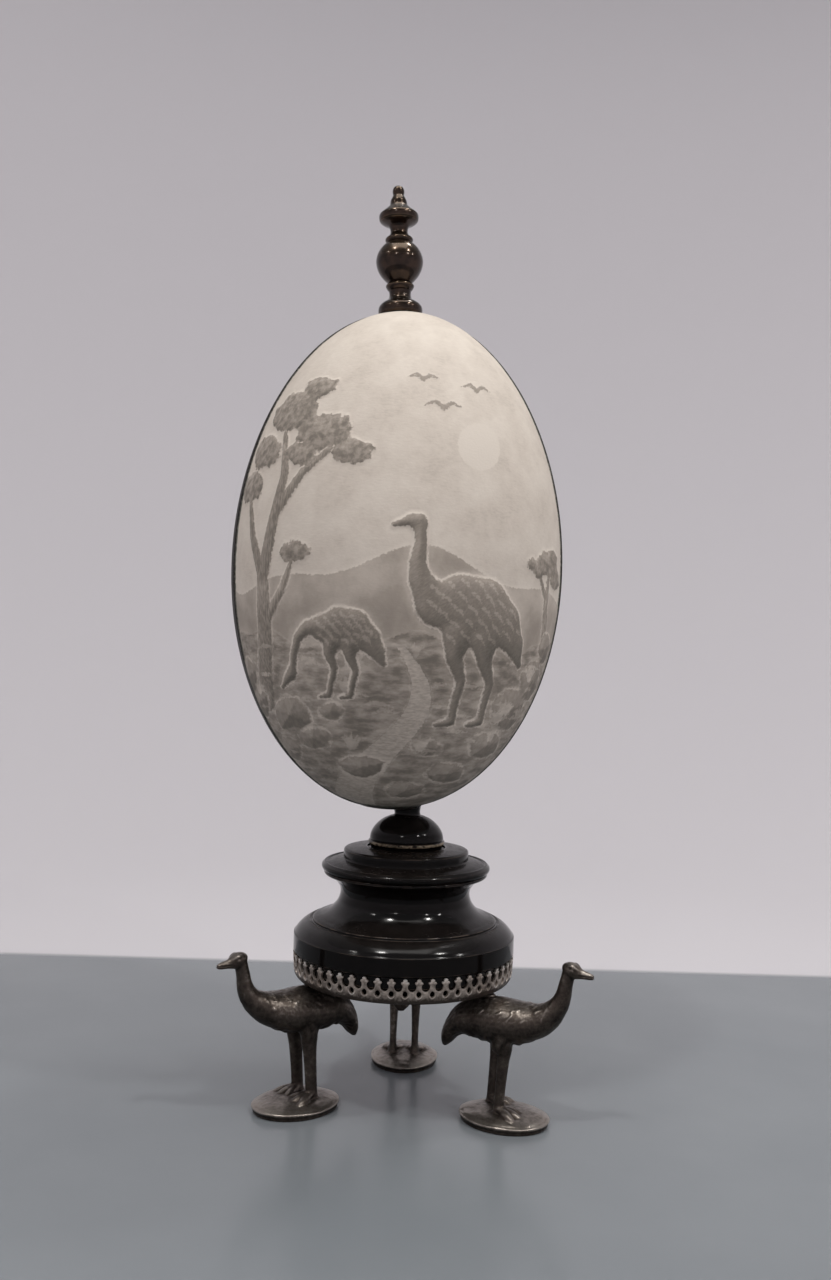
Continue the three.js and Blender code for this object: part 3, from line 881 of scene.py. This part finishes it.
LAYERS = [
    ("sun", 0.98, cloud, 0.01, 0.0),
    ("hills", 0.50, cloud, 0.08, 0.35),
    ("ground", 0.42, drift, 0.20, 0.25),
    ("creek", 0.66, scrape, 0.10, 0.30),
    ("trunks", 0.36, upright, 0.12, 0.55),
    ("leaves", 0.40, dabs, 0.15, 0.30),
    ("boulders", 0.38, dabs, 0.06, 0.62),
    ("birds", 0.45, knife, 0.03, 0.2),
    ("grass", 0.60, drift, 0.10, 0.0),
    ("emus", 0.30, plume, 0.05, 1.0),
    ("strands", 0.47, plume, 0.04, 0.0),
]
clouds = ramp(tree, cloud, 0.3, 0.7, -0.16, 0.05)
tone = plus(tree, clouds, ramp(tree, scrape, 0.3, 0.7, 0.88, 0.96))
for motif in LAYERS:
    tone = layer(tone, *motif)
# Painted light and shade on the motifs, worked out below and stored as "shade", is added to the tone.
tone = plus(tree, tone, attribute(tree, "shade"))
carved = colour_steps(tree, tone, [
    (0.0, colour(92, 88, 81)), (1.0, colour(217, 208, 196)), (0.3, colour(134, 126, 116)),
    (0.55, colour(170, 160, 149)), (0.8, colour(206, 196, 184))])

PEBBLE = 0.55 * MM
cells = {"Vector": place, "Scale": 1 / PEBBLE, "Randomness": 1.0}
pebble = add(tree, "ShaderNodeTexVoronoi", cells).outputs["Distance"]
grain = ramp(tree, pebble, 0.15, 0.60, 1.0, 0.0)
green = blend_colour(tree, ramp(tree, cloud, 0.35, 0.65), colour(48, 69, 60), colour(68, 88, 74))
pebbles = blend_colour(tree, grain, colour(19, 27, 24), green)
rim = plus(tree, attribute(tree, "panel"), knife_edge)
stained = ramp(tree, rim, 14, 3, 0.0, 0.9)
skin = blend_colour(tree, stained, pebbles, colour(30, 23, 18))
teal = blend_colour(tree, ramp(tree, rim, -0.9, -0.25), carved, colour(92, 91, 83))
skin_share = ramp(tree, rim, -0.22, 0.12)
shown = blend_colour(tree, skin_share, teal, skin)
cut_marks = bumps(tree, plus(tree, scrape, knife), 0.035)
pebbled = bumps(tree, grain, 0.10)
mixed = add(tree, "ShaderNodeMix", {0: skin_share, 4: cut_marks, 5: pebbled}, data_type="VECTOR")
dull = ramp(tree, skin_share, 0, 1, 0.72, 0.50)
feed(tree, shader, Base_Color=shown, Roughness=dull, Normal=mixed.outputs[1])
feed(tree, shader, Specular_IOR_Level=ramp(tree, skin_share, 0, 1, 0.35, 0.14))
print("finish:", shell_finish.name, "with", len(tree.nodes), "nodes")

# %% Light and shade within the motifs
def lit(shape, reach):
    """Light from the upper left on a rounded motif, from -1 to 1, over a rim of so many mm."""
    grid = (len(climb), len(columns))
    across, upward = [np.gradient(part.reshape(grid), axis=1 - i) for i, part in enumerate((S, Z))]
    slope_s = np.gradient(shape.reshape(grid), axis=1) / np.where(np.abs(across) < 1e-3, 1e-3, across)
    slope_z = np.gradient(shape.reshape(grid), axis=0) / np.where(np.abs(upward) < 1e-3, 1e-3, upward)
    light = np.clip(0.75 * slope_z - 0.65 * slope_s, -1, 1).ravel()
    return light * np.exp(-((shape / reach) ** 2)) * (shape < 0.5)


shade = facet_light * inside(boulders, 0.8)
RIM_LIGHTS = ((emus, 0.17, 3.2), (leaves, 0.10, 2.2), (trunks, 0.10, 1.2), (hills, 0.06, 5.0))
for shape, strength, reach in RIM_LIGHTS:
    shade += strength * lit(shape, reach)
shade += inside(emus, 1.5) * 0.05 * np.clip((Z - 50) / 10, -1, 1)
shade -= 0.10 * np.clip((30 - Z) / 30, 0, 1) * inside(boulders * -1, 1.0)
# The broad tone on the hills and ground here and the patchy tone on the leaves below are the carving's own
# tone, not light, kept in the same numbers.
shade += 0.07 * broad * inside(np.minimum(hills, ground), 1.0)
shade += 0.10 * np.exp(-((Z - 58) / 6) ** 2) * inside(hills, 2.0) * (1 - inside(emus, 1.0))
shade += 0.05 * patchy * inside(leaves, 1.0)

egg = new_object("carved_egg", moved(points, EGG_SEAT), faces, shell_finish, crisp=180)
KEPT = dict(sun=sun, hills=hills, ground=ground, creek=creek, trunks=trunks, leaves=leaves,
            boulders=boulders, birds=birds, grass=grass, emus=emus, strands=strands, panel=panel,
            shade=shade)
for name, values in KEPT.items():
    store(egg, name, np.append(np.clip(values, -50, 50), [1.0, 1.0]))
egg.data.attributes["panel"].data[crown].value = -1.0
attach(egg, "root")
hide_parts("egg")

# %% [markdown]
# ## Pewter
#
# The tray and the emus are pewter, cast and grey brown with age: dark where the polishing cloth
# can't reach and bright along the ridges. Each emu keeps, on its points, how proud it stands there,
# and the finish turns that into tones. The tray keeps instead a painted highlight on its teeth's tips
# and a darker foot, and gets painted highlights on the lower rims of its holes. On both, faces that
# look up are painted lighter and faces that look down darker, as light falls from above; the foot
# plates are lighter below 4 mm and darker again on their sides below 1.5 mm.

# %% Pewter
def pewter(name, dark, middle, bright, proud, painted_glints=None):
    """Cast pewter, dark in its hollows, rubbed bright on its ridges, painted lighter where it looks up and
    darker where it looks down, with any painted highlights added.
    """
    made, tree, shader, place = new_finish(name)
    blotch = speckle(tree, place, 3.5, 4)
    grain = speckle(tree, place, 0.22, 4, 0.6)
    ridge = ramp(tree, attribute(tree, proud), -1, 1, -0.32, 0.32)
    if painted_glints is not None:
        # Painted highlights handed in, such as the bright crescents on the tray's hole rims, are added
        # here.
        ridge = plus(tree, ridge, painted_glints(tree, place))
    uneven = ramp(tree, speckle(tree, place, 7, 2), 0.40, 0.60, 0.35, 1.0)
    ridge = times(tree, ridge, uneven)
    # Painted light: faces that look up are made lighter and faces that look down darker, as light falls
    # from above.
    ridge = plus(tree, ridge, ramp(tree, attribute(tree, "up"), -0.6, 0.95, -0.20, 0.24))
    above = axes(tree, place)["Z"]
    # Lighter on the foot plates, below 4 mm, and darker again on their sides, below 1.5 mm.
    rubbed = ramp(tree, above, 4 * MM, 2 * MM, 0.0, 0.34)
    low = maths(tree, "SUBTRACT", rubbed, ramp(tree, above, 1.5 * MM, 0.8 * MM, 0.0, 0.30))
    mottled = ramp(tree, speckle(tree, place, 1.0, 4, 0.6), 0.28, 0.72, -0.11, 0.11)
    ridge = plus(tree, ridge, mottled)
    height = plus(tree, plus(tree, ridge, low), ramp(tree, blotch, 0.3, 0.7, 0.26, 0.42))
    shown = colour_steps(tree, height, [(0.05, dark), (1.0, bright), (0.5, middle)])
    dull = ramp(tree, height, 0.1, 1.0, 0.50, 0.30)
    dents = bumps(tree, speckle(tree, place, 1.1, 2), 0.05)
    feed(tree, shader, Base_Color=shown, Roughness=dull, Normal=bumps(tree, grain, 0.008, dents))
    feed(tree, shader, Metallic=0.9)
    return made


EMU_TONES = colour(38, 33, 30), colour(82, 74, 68), colour(160, 152, 144)
emu_finish = pewter("emu pewter", *EMU_TONES, "proud")
print("finish:", emu_finish.name)

# %% [markdown]
# ## Pierced tray
#
# The tray is a shallow dish of thin pewter whose wall is pierced with a row of small oval holes and
# filed between them into a gallery of trefoil teeth. What repeats 54 times is one hole and one
# keyhole notch, so Geometry Nodes turn that pair of cutters round the axis and take them from the
# plain dish. The result is made a plain mesh, because the export keeps no instances.

# %% The plain dish and one pair of cutters
TEETH = 54
TRAY_BOTTOM = 32.4
TRAY_RADIUS = 30.0
TRAY_WALL = 0.55
CUT_FROM = 28.2
CUT_TO = 31.2
HOLE_Z = 35.3
HOLE_HALF_WIDTH = 0.66
HOLE_HALF_HEIGHT = 0.80
GALLERY_TURN = math.radians(-1.8)
HALF_PITCH = math.pi * TRAY_RADIUS / TEETH


def hole_rim_highlights(tree, place):
    """Painted highlights: a bright crescent on the lower rim of each hole of the gallery, where light from
    above catches the edge.
    """
    from_axis = {0: place, 1: (AXIS_X, AXIS_Y, HOLE_Z * MM)}
    centred = add(tree, "ShaderNodeVectorMath", from_axis, operation="SUBTRACT")
    along = axes(tree, centred.outputs[0])
    angle = maths(tree, "SUBTRACT", maths(tree, "ARCTAN2", along["Y"], along["X"]), GALLERY_TURN)
    turns = times(tree, angle, TEETH / (2 * math.pi))
    tooth = maths(tree, "FRACT", plus(tree, turns, 100.5))
    centre = maths(tree, "SUBTRACT", tooth, 0.5)
    across = times(tree, centre, 2 * HALF_PITCH / HOLE_HALF_WIDTH)
    upward = maths(tree, "DIVIDE", along["Z"], HOLE_HALF_HEIGHT * MM)
    squares = plus(tree, maths(tree, "POWER", across, 2), maths(tree, "POWER", upward, 2))
    out = maths(tree, "SQRT", squares)
    ring = times(tree, ramp(tree, out, 1.0, 1.15), ramp(tree, out, 1.55, 1.3))
    return times(tree, ring, ramp(tree, upward, 0.1, -0.9, 0.0, 0.6))


TRAY_TONES = colour(74, 66, 61), colour(206, 193, 182), colour(255, 250, 243)
tray_finish = pewter("tray pewter", *TRAY_TONES, "edge", hole_rim_highlights)
dish_runs = [
    [(0, TRAY_BOTTOM), (28.0, TRAY_BOTTOM)],
    [(28.9, 32.7), (29.5, 33.5), (29.75, 34.6)],
    [(29.85, 36.5), (TRAY_RADIUS, TRAY_TOP)],
    [(TRAY_RADIUS - TRAY_WALL, TRAY_TOP)],
    [(29.3, 36.5), (29.15, 34.9), (28.5, 33.6), (27.6, 33.1)],
    [(0, 33.1)],
]
dish = turned_shape(outline(dish_runs, steps=4), sides=6 * TEETH)
plain_dish = new_object("plain_dish", *dish, tray_finish)
NOTCH_SIDE = [
    (0, 35.95), (0.45, 36.05), (0.84, 36.35), (1.05, 36.85), (1.10, 37.3), (1.02, 37.65),
    (0.80, 37.88), (0.68, 38.08), (0.74, 38.30), (0.98, 38.42), (1.22, 38.46), (1.24, 38.62),
    (1.18, 38.80), (1.28, 39.0), (1.50, 39.12), (HALF_PITCH + 0.02, 39.17), (HALF_PITCH + 0.02, 40.0),
]


def prism(edge, flare=0.0):
    """A cutter: an outline of (s, z) points pushed through the wall, wider outside by a share."""
    edge = np.array(edge)
    middle = edge.mean(0)
    near = [(CUT_FROM, *spot) for spot in middle + (edge - middle) * (1 - flare)]
    far = [(CUT_TO, *spot) for spot in middle + (edge - middle) * (1 + flare)]
    count = len(edge)
    sides = [[i, i + count, (i + 1) % count + count, (i + 1) % count] for i in range(count)]
    faces = [list(range(count)), list(range(2 * count - 1, count - 1, -1)), *sides]
    return near + far, [face[::-1] for face in faces]


hole = [(HOLE_HALF_WIDTH * math.cos(a), HOLE_Z + HOLE_HALF_HEIGHT * math.sin(a))
        for a in angles(20)]
notch = NOTCH_SIDE + [(-s, z) for s, z in NOTCH_SIDE[:0:-1]]
half_turn = math.pi / TEETH
hole_points, hole_faces = prism(hole, flare=0.45)
notch_points, notch_faces = prism(notch)
notch_points = moved(notch_points, Matrix.Rotation(half_turn, 4, "Z"))
cutter_points = np.vstack([hole_points, notch_points])
cutter_faces = hole_faces + [[i + len(hole_points) for i in face] for face in notch_faces]
cutter = new_object("hole_and_notch", cutter_points, cutter_faces, tray_finish)
print(f"one tooth is {2 * HALF_PITCH:.2f} mm wide")

# %% Pierce the dish with Geometry Nodes
tree = bpy.data.node_groups.new("pierced gallery", "GeometryNodeTree")
sockets = {}
for name, kind in (("Dish", "Geometry"), ("Cutter", "Object"), ("Teeth", "Int"), ("Finish", "Material")):
    kind = "NodeSocket" + kind
    sockets[name] = tree.interface.new_socket(name=name, in_out="INPUT", socket_type=kind).identifier
tree.interface.new_socket(name="Gallery", in_out="OUTPUT", socket_type="NodeSocketGeometry")
given = add(tree, "NodeGroupInput").outputs
spots = add(tree, "GeometryNodeMeshLine", {"Count": given["Teeth"], "Offset": (0, 0, 0)})
index = add(tree, "GeometryNodeInputIndex").outputs[0]
step = maths(tree, "DIVIDE", 2 * math.pi, given["Teeth"])
turn = add(tree, "ShaderNodeCombineXYZ", {"Z": times(tree, index, step)})
tool = add(tree, "GeometryNodeObjectInfo", {"Object": given["Cutter"]}).outputs["Geometry"]
inputs = {"Points": spots.outputs[0], "Instance": tool, "Rotation": turn.outputs[0]}
ring = add(tree, "GeometryNodeInstanceOnPoints", inputs)
pierced = add(tree, "GeometryNodeMeshBoolean", operation="DIFFERENCE", solver="MANIFOLD")
tree.links.new(given["Dish"], pierced.inputs["Mesh 1"])
tree.links.new(ring.outputs[0], pierced.inputs["Mesh 2"])
whole = add(tree, "GeometryNodeRealizeInstances", {0: pierced.outputs[0]})
coated = {"Geometry": whole.outputs[0], "Material": given["Finish"]}
finished = add(tree, "GeometryNodeSetMaterial", coated)
result = add(tree, "NodeGroupOutput")
tree.links.new(finished.outputs[0], result.inputs[0])

piercing = plain_dish.modifiers.new("piercing", "NODES")
piercing.node_group = tree
piercing[sockets["Cutter"]] = cutter
piercing[sockets["Teeth"]] = TEETH
piercing[sockets["Finish"]] = tray_finish
mesh = baked(plain_dish)
bpy.data.objects.remove(cutter)
turned = Matrix.Rotation(GALLERY_TURN, 4, "Z")
mesh.transform(Matrix.Translation((AXIS_X, AXIS_Y, 0)) @ turned)
tray = new_piece("pierced_tray", mesh, tray_finish, crisp=30)
heights = np.array([point.co.z for point in mesh.vertices]) / MM
# Painted highlight on the teeth's tips, and a darker foot, kept as the tray's "edge" for its pewter tones.
painted_tip_highlight = eased(heights, 37.6, 38.9)
dark_foot = 1 - eased(heights, 32.8, 35.0)
store(tray, "edge", painted_tip_highlight - 0.8 * dark_foot)
keep_facing(tray)
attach(tray, "root")
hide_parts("tray")

# %% [markdown]
# ## Emus
#
# Each emu is one casting: bird, foot plate and the lug that meets the tray. It starts as simple
# closed skins, lofted over oval sections along the body, the head, each leg and each toe. A voxel
# remesh melts them into one skin, as wax parts are melted together before casting, and the plumage
# is then raised on that skin by code. Sculpting would give the same, but the sections keep the
# birds exactly where their solids stand.

# %% Sections of an emu
PLATE_HALF_LENGTH = 12.0
PLATE_HALF_WIDTH = 9.8
PLATE_TOP = 1.8
LEG_SPREAD = 3.2
LEG_X = -2.5
LUG_X = -5.0
EMU_BODY = [
    (-17.6, 0, 16.3, 0.9, 0.6), (-16.8, 0, 18.1, 2.4, 1.6), (-15.4, 0, 20.8, 3.6, 2.4),
    (-13.2, 0, 23.3, 4.7, 3.5), (-10.0, 0, 25.0, 5.7, 4.9), (-6.0, 0, 25.6, 6.3, 5.6),
    (-1.5, 0, 25.7, 6.6, 5.9), (3.5, 0, 26.0, 6.3, 5.4), (8.0, 0, 27.0, 5.3, 4.5),
    (11.3, 0, 28.8, 4.1, 3.6), (13.8, 0, 31.4, 3.0, 2.7), (15.3, 0, 34.4, 2.2, 2.1),
    (16.0, 0, 37.6, 1.8, 1.8), (16.8, 0, 40.9, 1.7, 1.7),
]
EMU_HEAD = [
    (15.2, 0, 41.2, 0.7, 0.8), (15.9, 0, 41.4, 1.5, 1.7), (17.4, 0, 41.4, 1.95, 2.05),
    (18.9, 0, 41.0, 1.7, 1.75), (20.0, 0, 40.75, 1.3, 1.25), (21.3, 0, 40.6, 1.1, 1.0),
    (22.5, 0, 40.45, 1.0, 0.82), (23.4, 0, 40.3, 0.65, 0.5),
]
EMU_LEG = [
    (LEG_X + 1.2, 24.0, 2.6, 3.2), (LEG_X + 1.1, 19.6, 1.8, 2.6), (LEG_X + 0.9, 16.6, 1.35, 2.1),
    (LEG_X + 0.6, 13.0, 1.15, 1.85), (LEG_X + 0.2, 8.0, 1.0, 1.75), (LEG_X, 4.4, 1.15, 1.8),
    (LEG_X, PLATE_TOP, 2.0, 2.4),
]
TOE = [
    (0.0, 2.5, 1.3, 1.2), (1.9, 2.05, 1.1, 0.95), (3.1, 1.75, 1.2, 1.0), (4.6, 1.35, 1.05, 0.9),
    (6.0, 0.95, 0.5, 0.5),
]
TOE_ANGLES = (-30, 0, 30)
THIGH = [
    (LEG_X + 2.6, 2.8, 28.0, 2.4, 3.4), (LEG_X + 2.2, 3.6, 24.8, 2.6, 3.3),
    (LEG_X + 1.5, 3.7, 21.4, 2.2, 2.8), (LEG_X + 0.9, 3.5, 18.6, 1.4, 2.2),
]
BROW = [(16.9, 1.25, 42.7, 0.3, 0.3), (18.2, 1.45, 42.6, 0.55, 0.5), (19.6, 1.1, 41.7, 0.3, 0.3)]


def lofted(stations, sides=20, steps=5):
    """A closed skin over oval sections, each given as (x, y, z, half width, half height)."""
    fine = curve_through(stations, steps)
    centres, sizes = fine[:, :3], np.clip(fine[:, 3:], 0.08, None)
    along = np.gradient(centres, axis=0)
    along /= np.linalg.norm(along, axis=1)[:, None]
    across = np.array([0, 1.0, 0]) - along * along[:, 1:2]
    across /= np.linalg.norm(across, axis=1)[:, None]
    upward = np.cross(along, across)
    turn = angles(sides)
    ring = (centres[:, None] + across[:, None] * (np.cos(turn) * sizes[:, :1])[..., None]
            + upward[:, None] * (np.sin(turn) * sizes[:, 1:])[..., None])
    points = np.vstack([ring.reshape(-1, 3), centres[0], centres[-1]])
    return points, ring_faces(sides, len(fine))


print("sections: body", len(EMU_BODY), "head", len(EMU_HEAD), "leg", len(EMU_LEG))

# %% Wax parts of one emu
def foot_plate():
    """An oval plate with a tucked side, a lip and a low mound."""
    lip = PLATE_HALF_LENGTH
    runs = [
        [(0, 0), (lip - 0.5, 0)],
        [(lip - 0.4, 0.3), (lip - 0.4, 1.05)],
        [(lip, 1.35), (lip, 1.75), (lip - 0.7, 1.95)],
        [(10.6, 2.3), (8.6, 2.75), (6.0, 3.15), (3.0, 3.45), (0, 3.55)],
    ]
    points, faces = turned_shape(outline(runs, steps=4), sides=64)
    points[:, 1] *= PLATE_HALF_WIDTH / PLATE_HALF_LENGTH
    return points, faces


def bead(x, y, z, radius):
    """A small ball, for an eye."""
    arc = np.linspace(-math.pi / 2, math.pi / 2, 12)
    profile = np.column_stack([radius * np.cos(arc), z + radius * np.sin(arc)])
    points, faces = turned_shape(profile, sides=16)
    return points + np.array([x, y, 0]), faces


def neck_share(x):
    """How far a place along the bird belongs to its neck and head, from 0 to 1."""
    return eased(x, 9, 15)


def craned(stations, reach, nod):
    """Sections with those of the neck and head moved forward and up."""
    placed = []
    for x, y, z, w, h in stations:
        share = float(neck_share(x))
        placed.append((x + reach * share, y, z + nod * share, w, h))
    return placed


def wax_parts(stride, tail_lift, leg_depth, reach, nod):
    """The closed skins that one emu is melted together from, facing +X."""
    body = [(x, y, z + tail_lift * float(eased(-x, 9, 18)), w, h) for x, y, z, w, h in EMU_BODY]
    lug = [(LUG_X, 0, 27.5, 3.0, 3.0), (LUG_X, 0, 30.2, 2.2, 2.2), (LUG_X, 0, 32.1, 1.5, 1.5)]
    parts = [lofted(craned(body, reach, nod), sides=28), lofted(craned(EMU_HEAD, reach, nod))]
    parts += [foot_plate(), lofted(lug)]
    for side in (-1, 1):
        forward = -side * stride / 2
        y = side * LEG_SPREAD
        parts.append(lofted([(x + forward, y, z, w, h * leg_depth) for x, z, w, h in EMU_LEG]))
        parts.append(lofted([(x + forward / 2, side * out, z, w, h) for x, out, z, w, h in THIGH]))
        for angle in TOE_ANGLES:
            aim = math.radians(angle)
            toe = [(LEG_X + forward + out * math.cos(aim), y + out * math.sin(aim), PLATE_TOP + rise, w, h)
                   for out, rise, w, h in TOE]
            parts.append(lofted(toe, sides=12))
        parts.append(bead(18.1 + reach, side * 1.7, 41.6 + nod, 0.5))
        brow = [(x, side * out, z, w, h) for x, out, z, w, h in BROW]
        parts.append(lofted(craned(brow, reach, nod), sides=12))
    return parts


def melted(parts, voxel):
    """One skin over closed parts, from a voxel remesh; a mesh in millimetres."""
    points, faces = [], []
    for part_points, part_faces in parts:
        first = sum(len(p) for p in points)
        points.append(part_points)
        faces += [[i + first for i in face] for face in part_faces]
    mesh = bpy.data.meshes.new("wax")
    mesh.from_pydata(np.vstack(points).tolist(), [], faces)
    wax = bpy.data.objects.new("wax", mesh)
    scene.collection.objects.link(wax)
    remesh = wax.modifiers.new("melt", "REMESH")
    remesh.mode = "VOXEL"
    remesh.voxel_size = voxel
    return baked(wax)


print("wax parts in one emu:", len(wax_parts(0, 0, 1, 0, 0)))

# %% Plumage
def relaxed(points, edges, rounds):
    """Points drawn towards the middle of their neighbours, to take the steps out of a remesh."""
    count = np.bincount(edges.ravel(), minlength=len(points))[:, None]
    for _ in range(rounds):
        total = np.zeros_like(points)
        np.add.at(total, edges[:, 0], points[edges[:, 1]])
        np.add.at(total, edges[:, 1], points[edges[:, 0]])
        points = points + 0.55 * (total / count - points)
    return points


def noise_at(points, size, seed):
    """Noise at each point, with blotches of so many millimetres each way."""
    scaled = points / np.asarray(size)
    return np.array([noise.noise((x, y, z + seed)) for x, y, z in scaled])


def plumage(points, reach, nod):
    """How proud the surface stands of its skin, in mm: feathers, rough ground, the beak's slit."""
    x, y, z = (points - np.outer(neck_share(points[:, 0]), (reach, 0, nod))).T
    slant = np.column_stack([x * 0.70 + z * 0.71, y, x * 0.71 - z * 0.70])
    streak = 1 - 2.2 * np.abs(noise_at(slant, (4.2, 1.2, 1.1), 4.0))
    dab = np.clip(noise_at(slant, (2.8, 1.1, 1.0), 9.0) - 0.20, 0, 1)
    ruffle = np.clip(noise_at(points, (0.9, 1.4, 2.6), 6.0) - 0.12, 0, 1)
    swell = noise_at(points, (5.0, 4.0, 4.0), 7.0)
    on_head = eased(x, 14.6, 16.2) * eased(z, 36, 39)
    on_body = eased(z, 18.0, 20.0) * (1 - eased(z, 35.0, 40.0)) * (1 - on_head)
    on_flank = eased(z, 26.8, 28.6) * (1 - eased(z, 30.6, 32.2))
    on_flank = on_flank * eased(x, -10, -6) * (1 - eased(x, 10.0, 13.0))
    on_throat = eased(x, 8.0, 10.5) * eased(z, 25.5, 27.5) * (1 - eased(z, 32.0, 35.0))
    on_tail = 1 - eased(x, -13.5, -9.0)
    on_belly = (1 - eased(z, 21.0, 23.5)) * (1 - on_tail)
    tuft = np.clip(noise_at(points, (1.5, 1.8, 3.2), 5.0), -0.3, 0.8)
    fine = (0.014 + 0.09 * on_tail) * streak + 0.14 * swell + 0.45 * on_belly * tuft
    feathers = on_body * (fine + 0.50 * on_flank * dab + 0.22 * on_throat * ruffle)
    on_plate = 1 - eased(z, 2.6, 3.8)
    lumps = 0.26 * noise_at(points, 4.4, 2.0) + 0.06 * noise_at(points, 1.5, 6.0)
    rough = on_plate * eased(z, 1.2, 1.9) * lumps
    beak = -0.16 * eased(x, 19.2, 20.2) * np.exp(-((z - (40.68 - 0.05 * (x - 19))) / 0.16) ** 2)
    return feathers + rough + beak


print("plumage ready")

# %% Cast the three emus
VOXEL = 0.22
PROUD_FULL = 0.09
EMUS = {
    "left": dict(heading=215, stride=0.6, tail_lift=0.0, leg_depth=1.0, reach=0.45, nod=-0.6),
    "right": dict(heading=-28, stride=4.8, tail_lift=0.3, leg_depth=0.8, reach=0.0, nod=0.0),
    "back": dict(heading=86, stride=0.0, tail_lift=3.5, leg_depth=1.0, reach=0.0, nod=0.0),
}
MOUNTS = {mount["name"]: mount["pos_m"] for mount in frame["record"]["mounts"]}
for name, emu in EMUS.items():
    crane = emu["reach"], emu["nod"]
    mesh = melted(wax_parts(emu["stride"], emu["tail_lift"], emu["leg_depth"], *crane), VOXEL)
    points = np.zeros((len(mesh.vertices), 3))
    normals = np.zeros_like(points)
    edges = np.zeros((len(mesh.edges), 2), int)
    mesh.vertices.foreach_get("co", points.ravel())
    mesh.edges.foreach_get("vertices", edges.ravel())
    points = relaxed(points, edges, rounds=4)
    mesh.vertices.foreach_set("co", points.ravel())
    mesh.update()
    mesh.vertex_normals.foreach_get("vector", normals.ravel())
    points = points + normals * plumage(points, *crane)[:, None]
    points[:, 2] = np.clip(points[:, 2], 0, None)
    around = relaxed(points, edges, rounds=14)
    above = np.sum((points - around) * normals, 1)
    proud = relaxed(above[:, None], edges, rounds=1)[:, 0]
    spot = Vector(MOUNTS[f"foot_{name}"]) / MM
    seat = Matrix.Translation(spot) @ Matrix.Rotation(math.radians(emu["heading"]), 4, "Z")
    mesh.vertices.foreach_set("co", (moved(points, seat) * MM).ravel())
    mesh.update()
    cast = new_piece(f"cast_emu_{name}", mesh, emu_finish, crisp=180)
    store(cast, "proud", np.clip(proud / PROUD_FULL, -1, 1))
    keep_facing(cast)
    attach(cast, "root")
    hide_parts(f"emu_{name}")
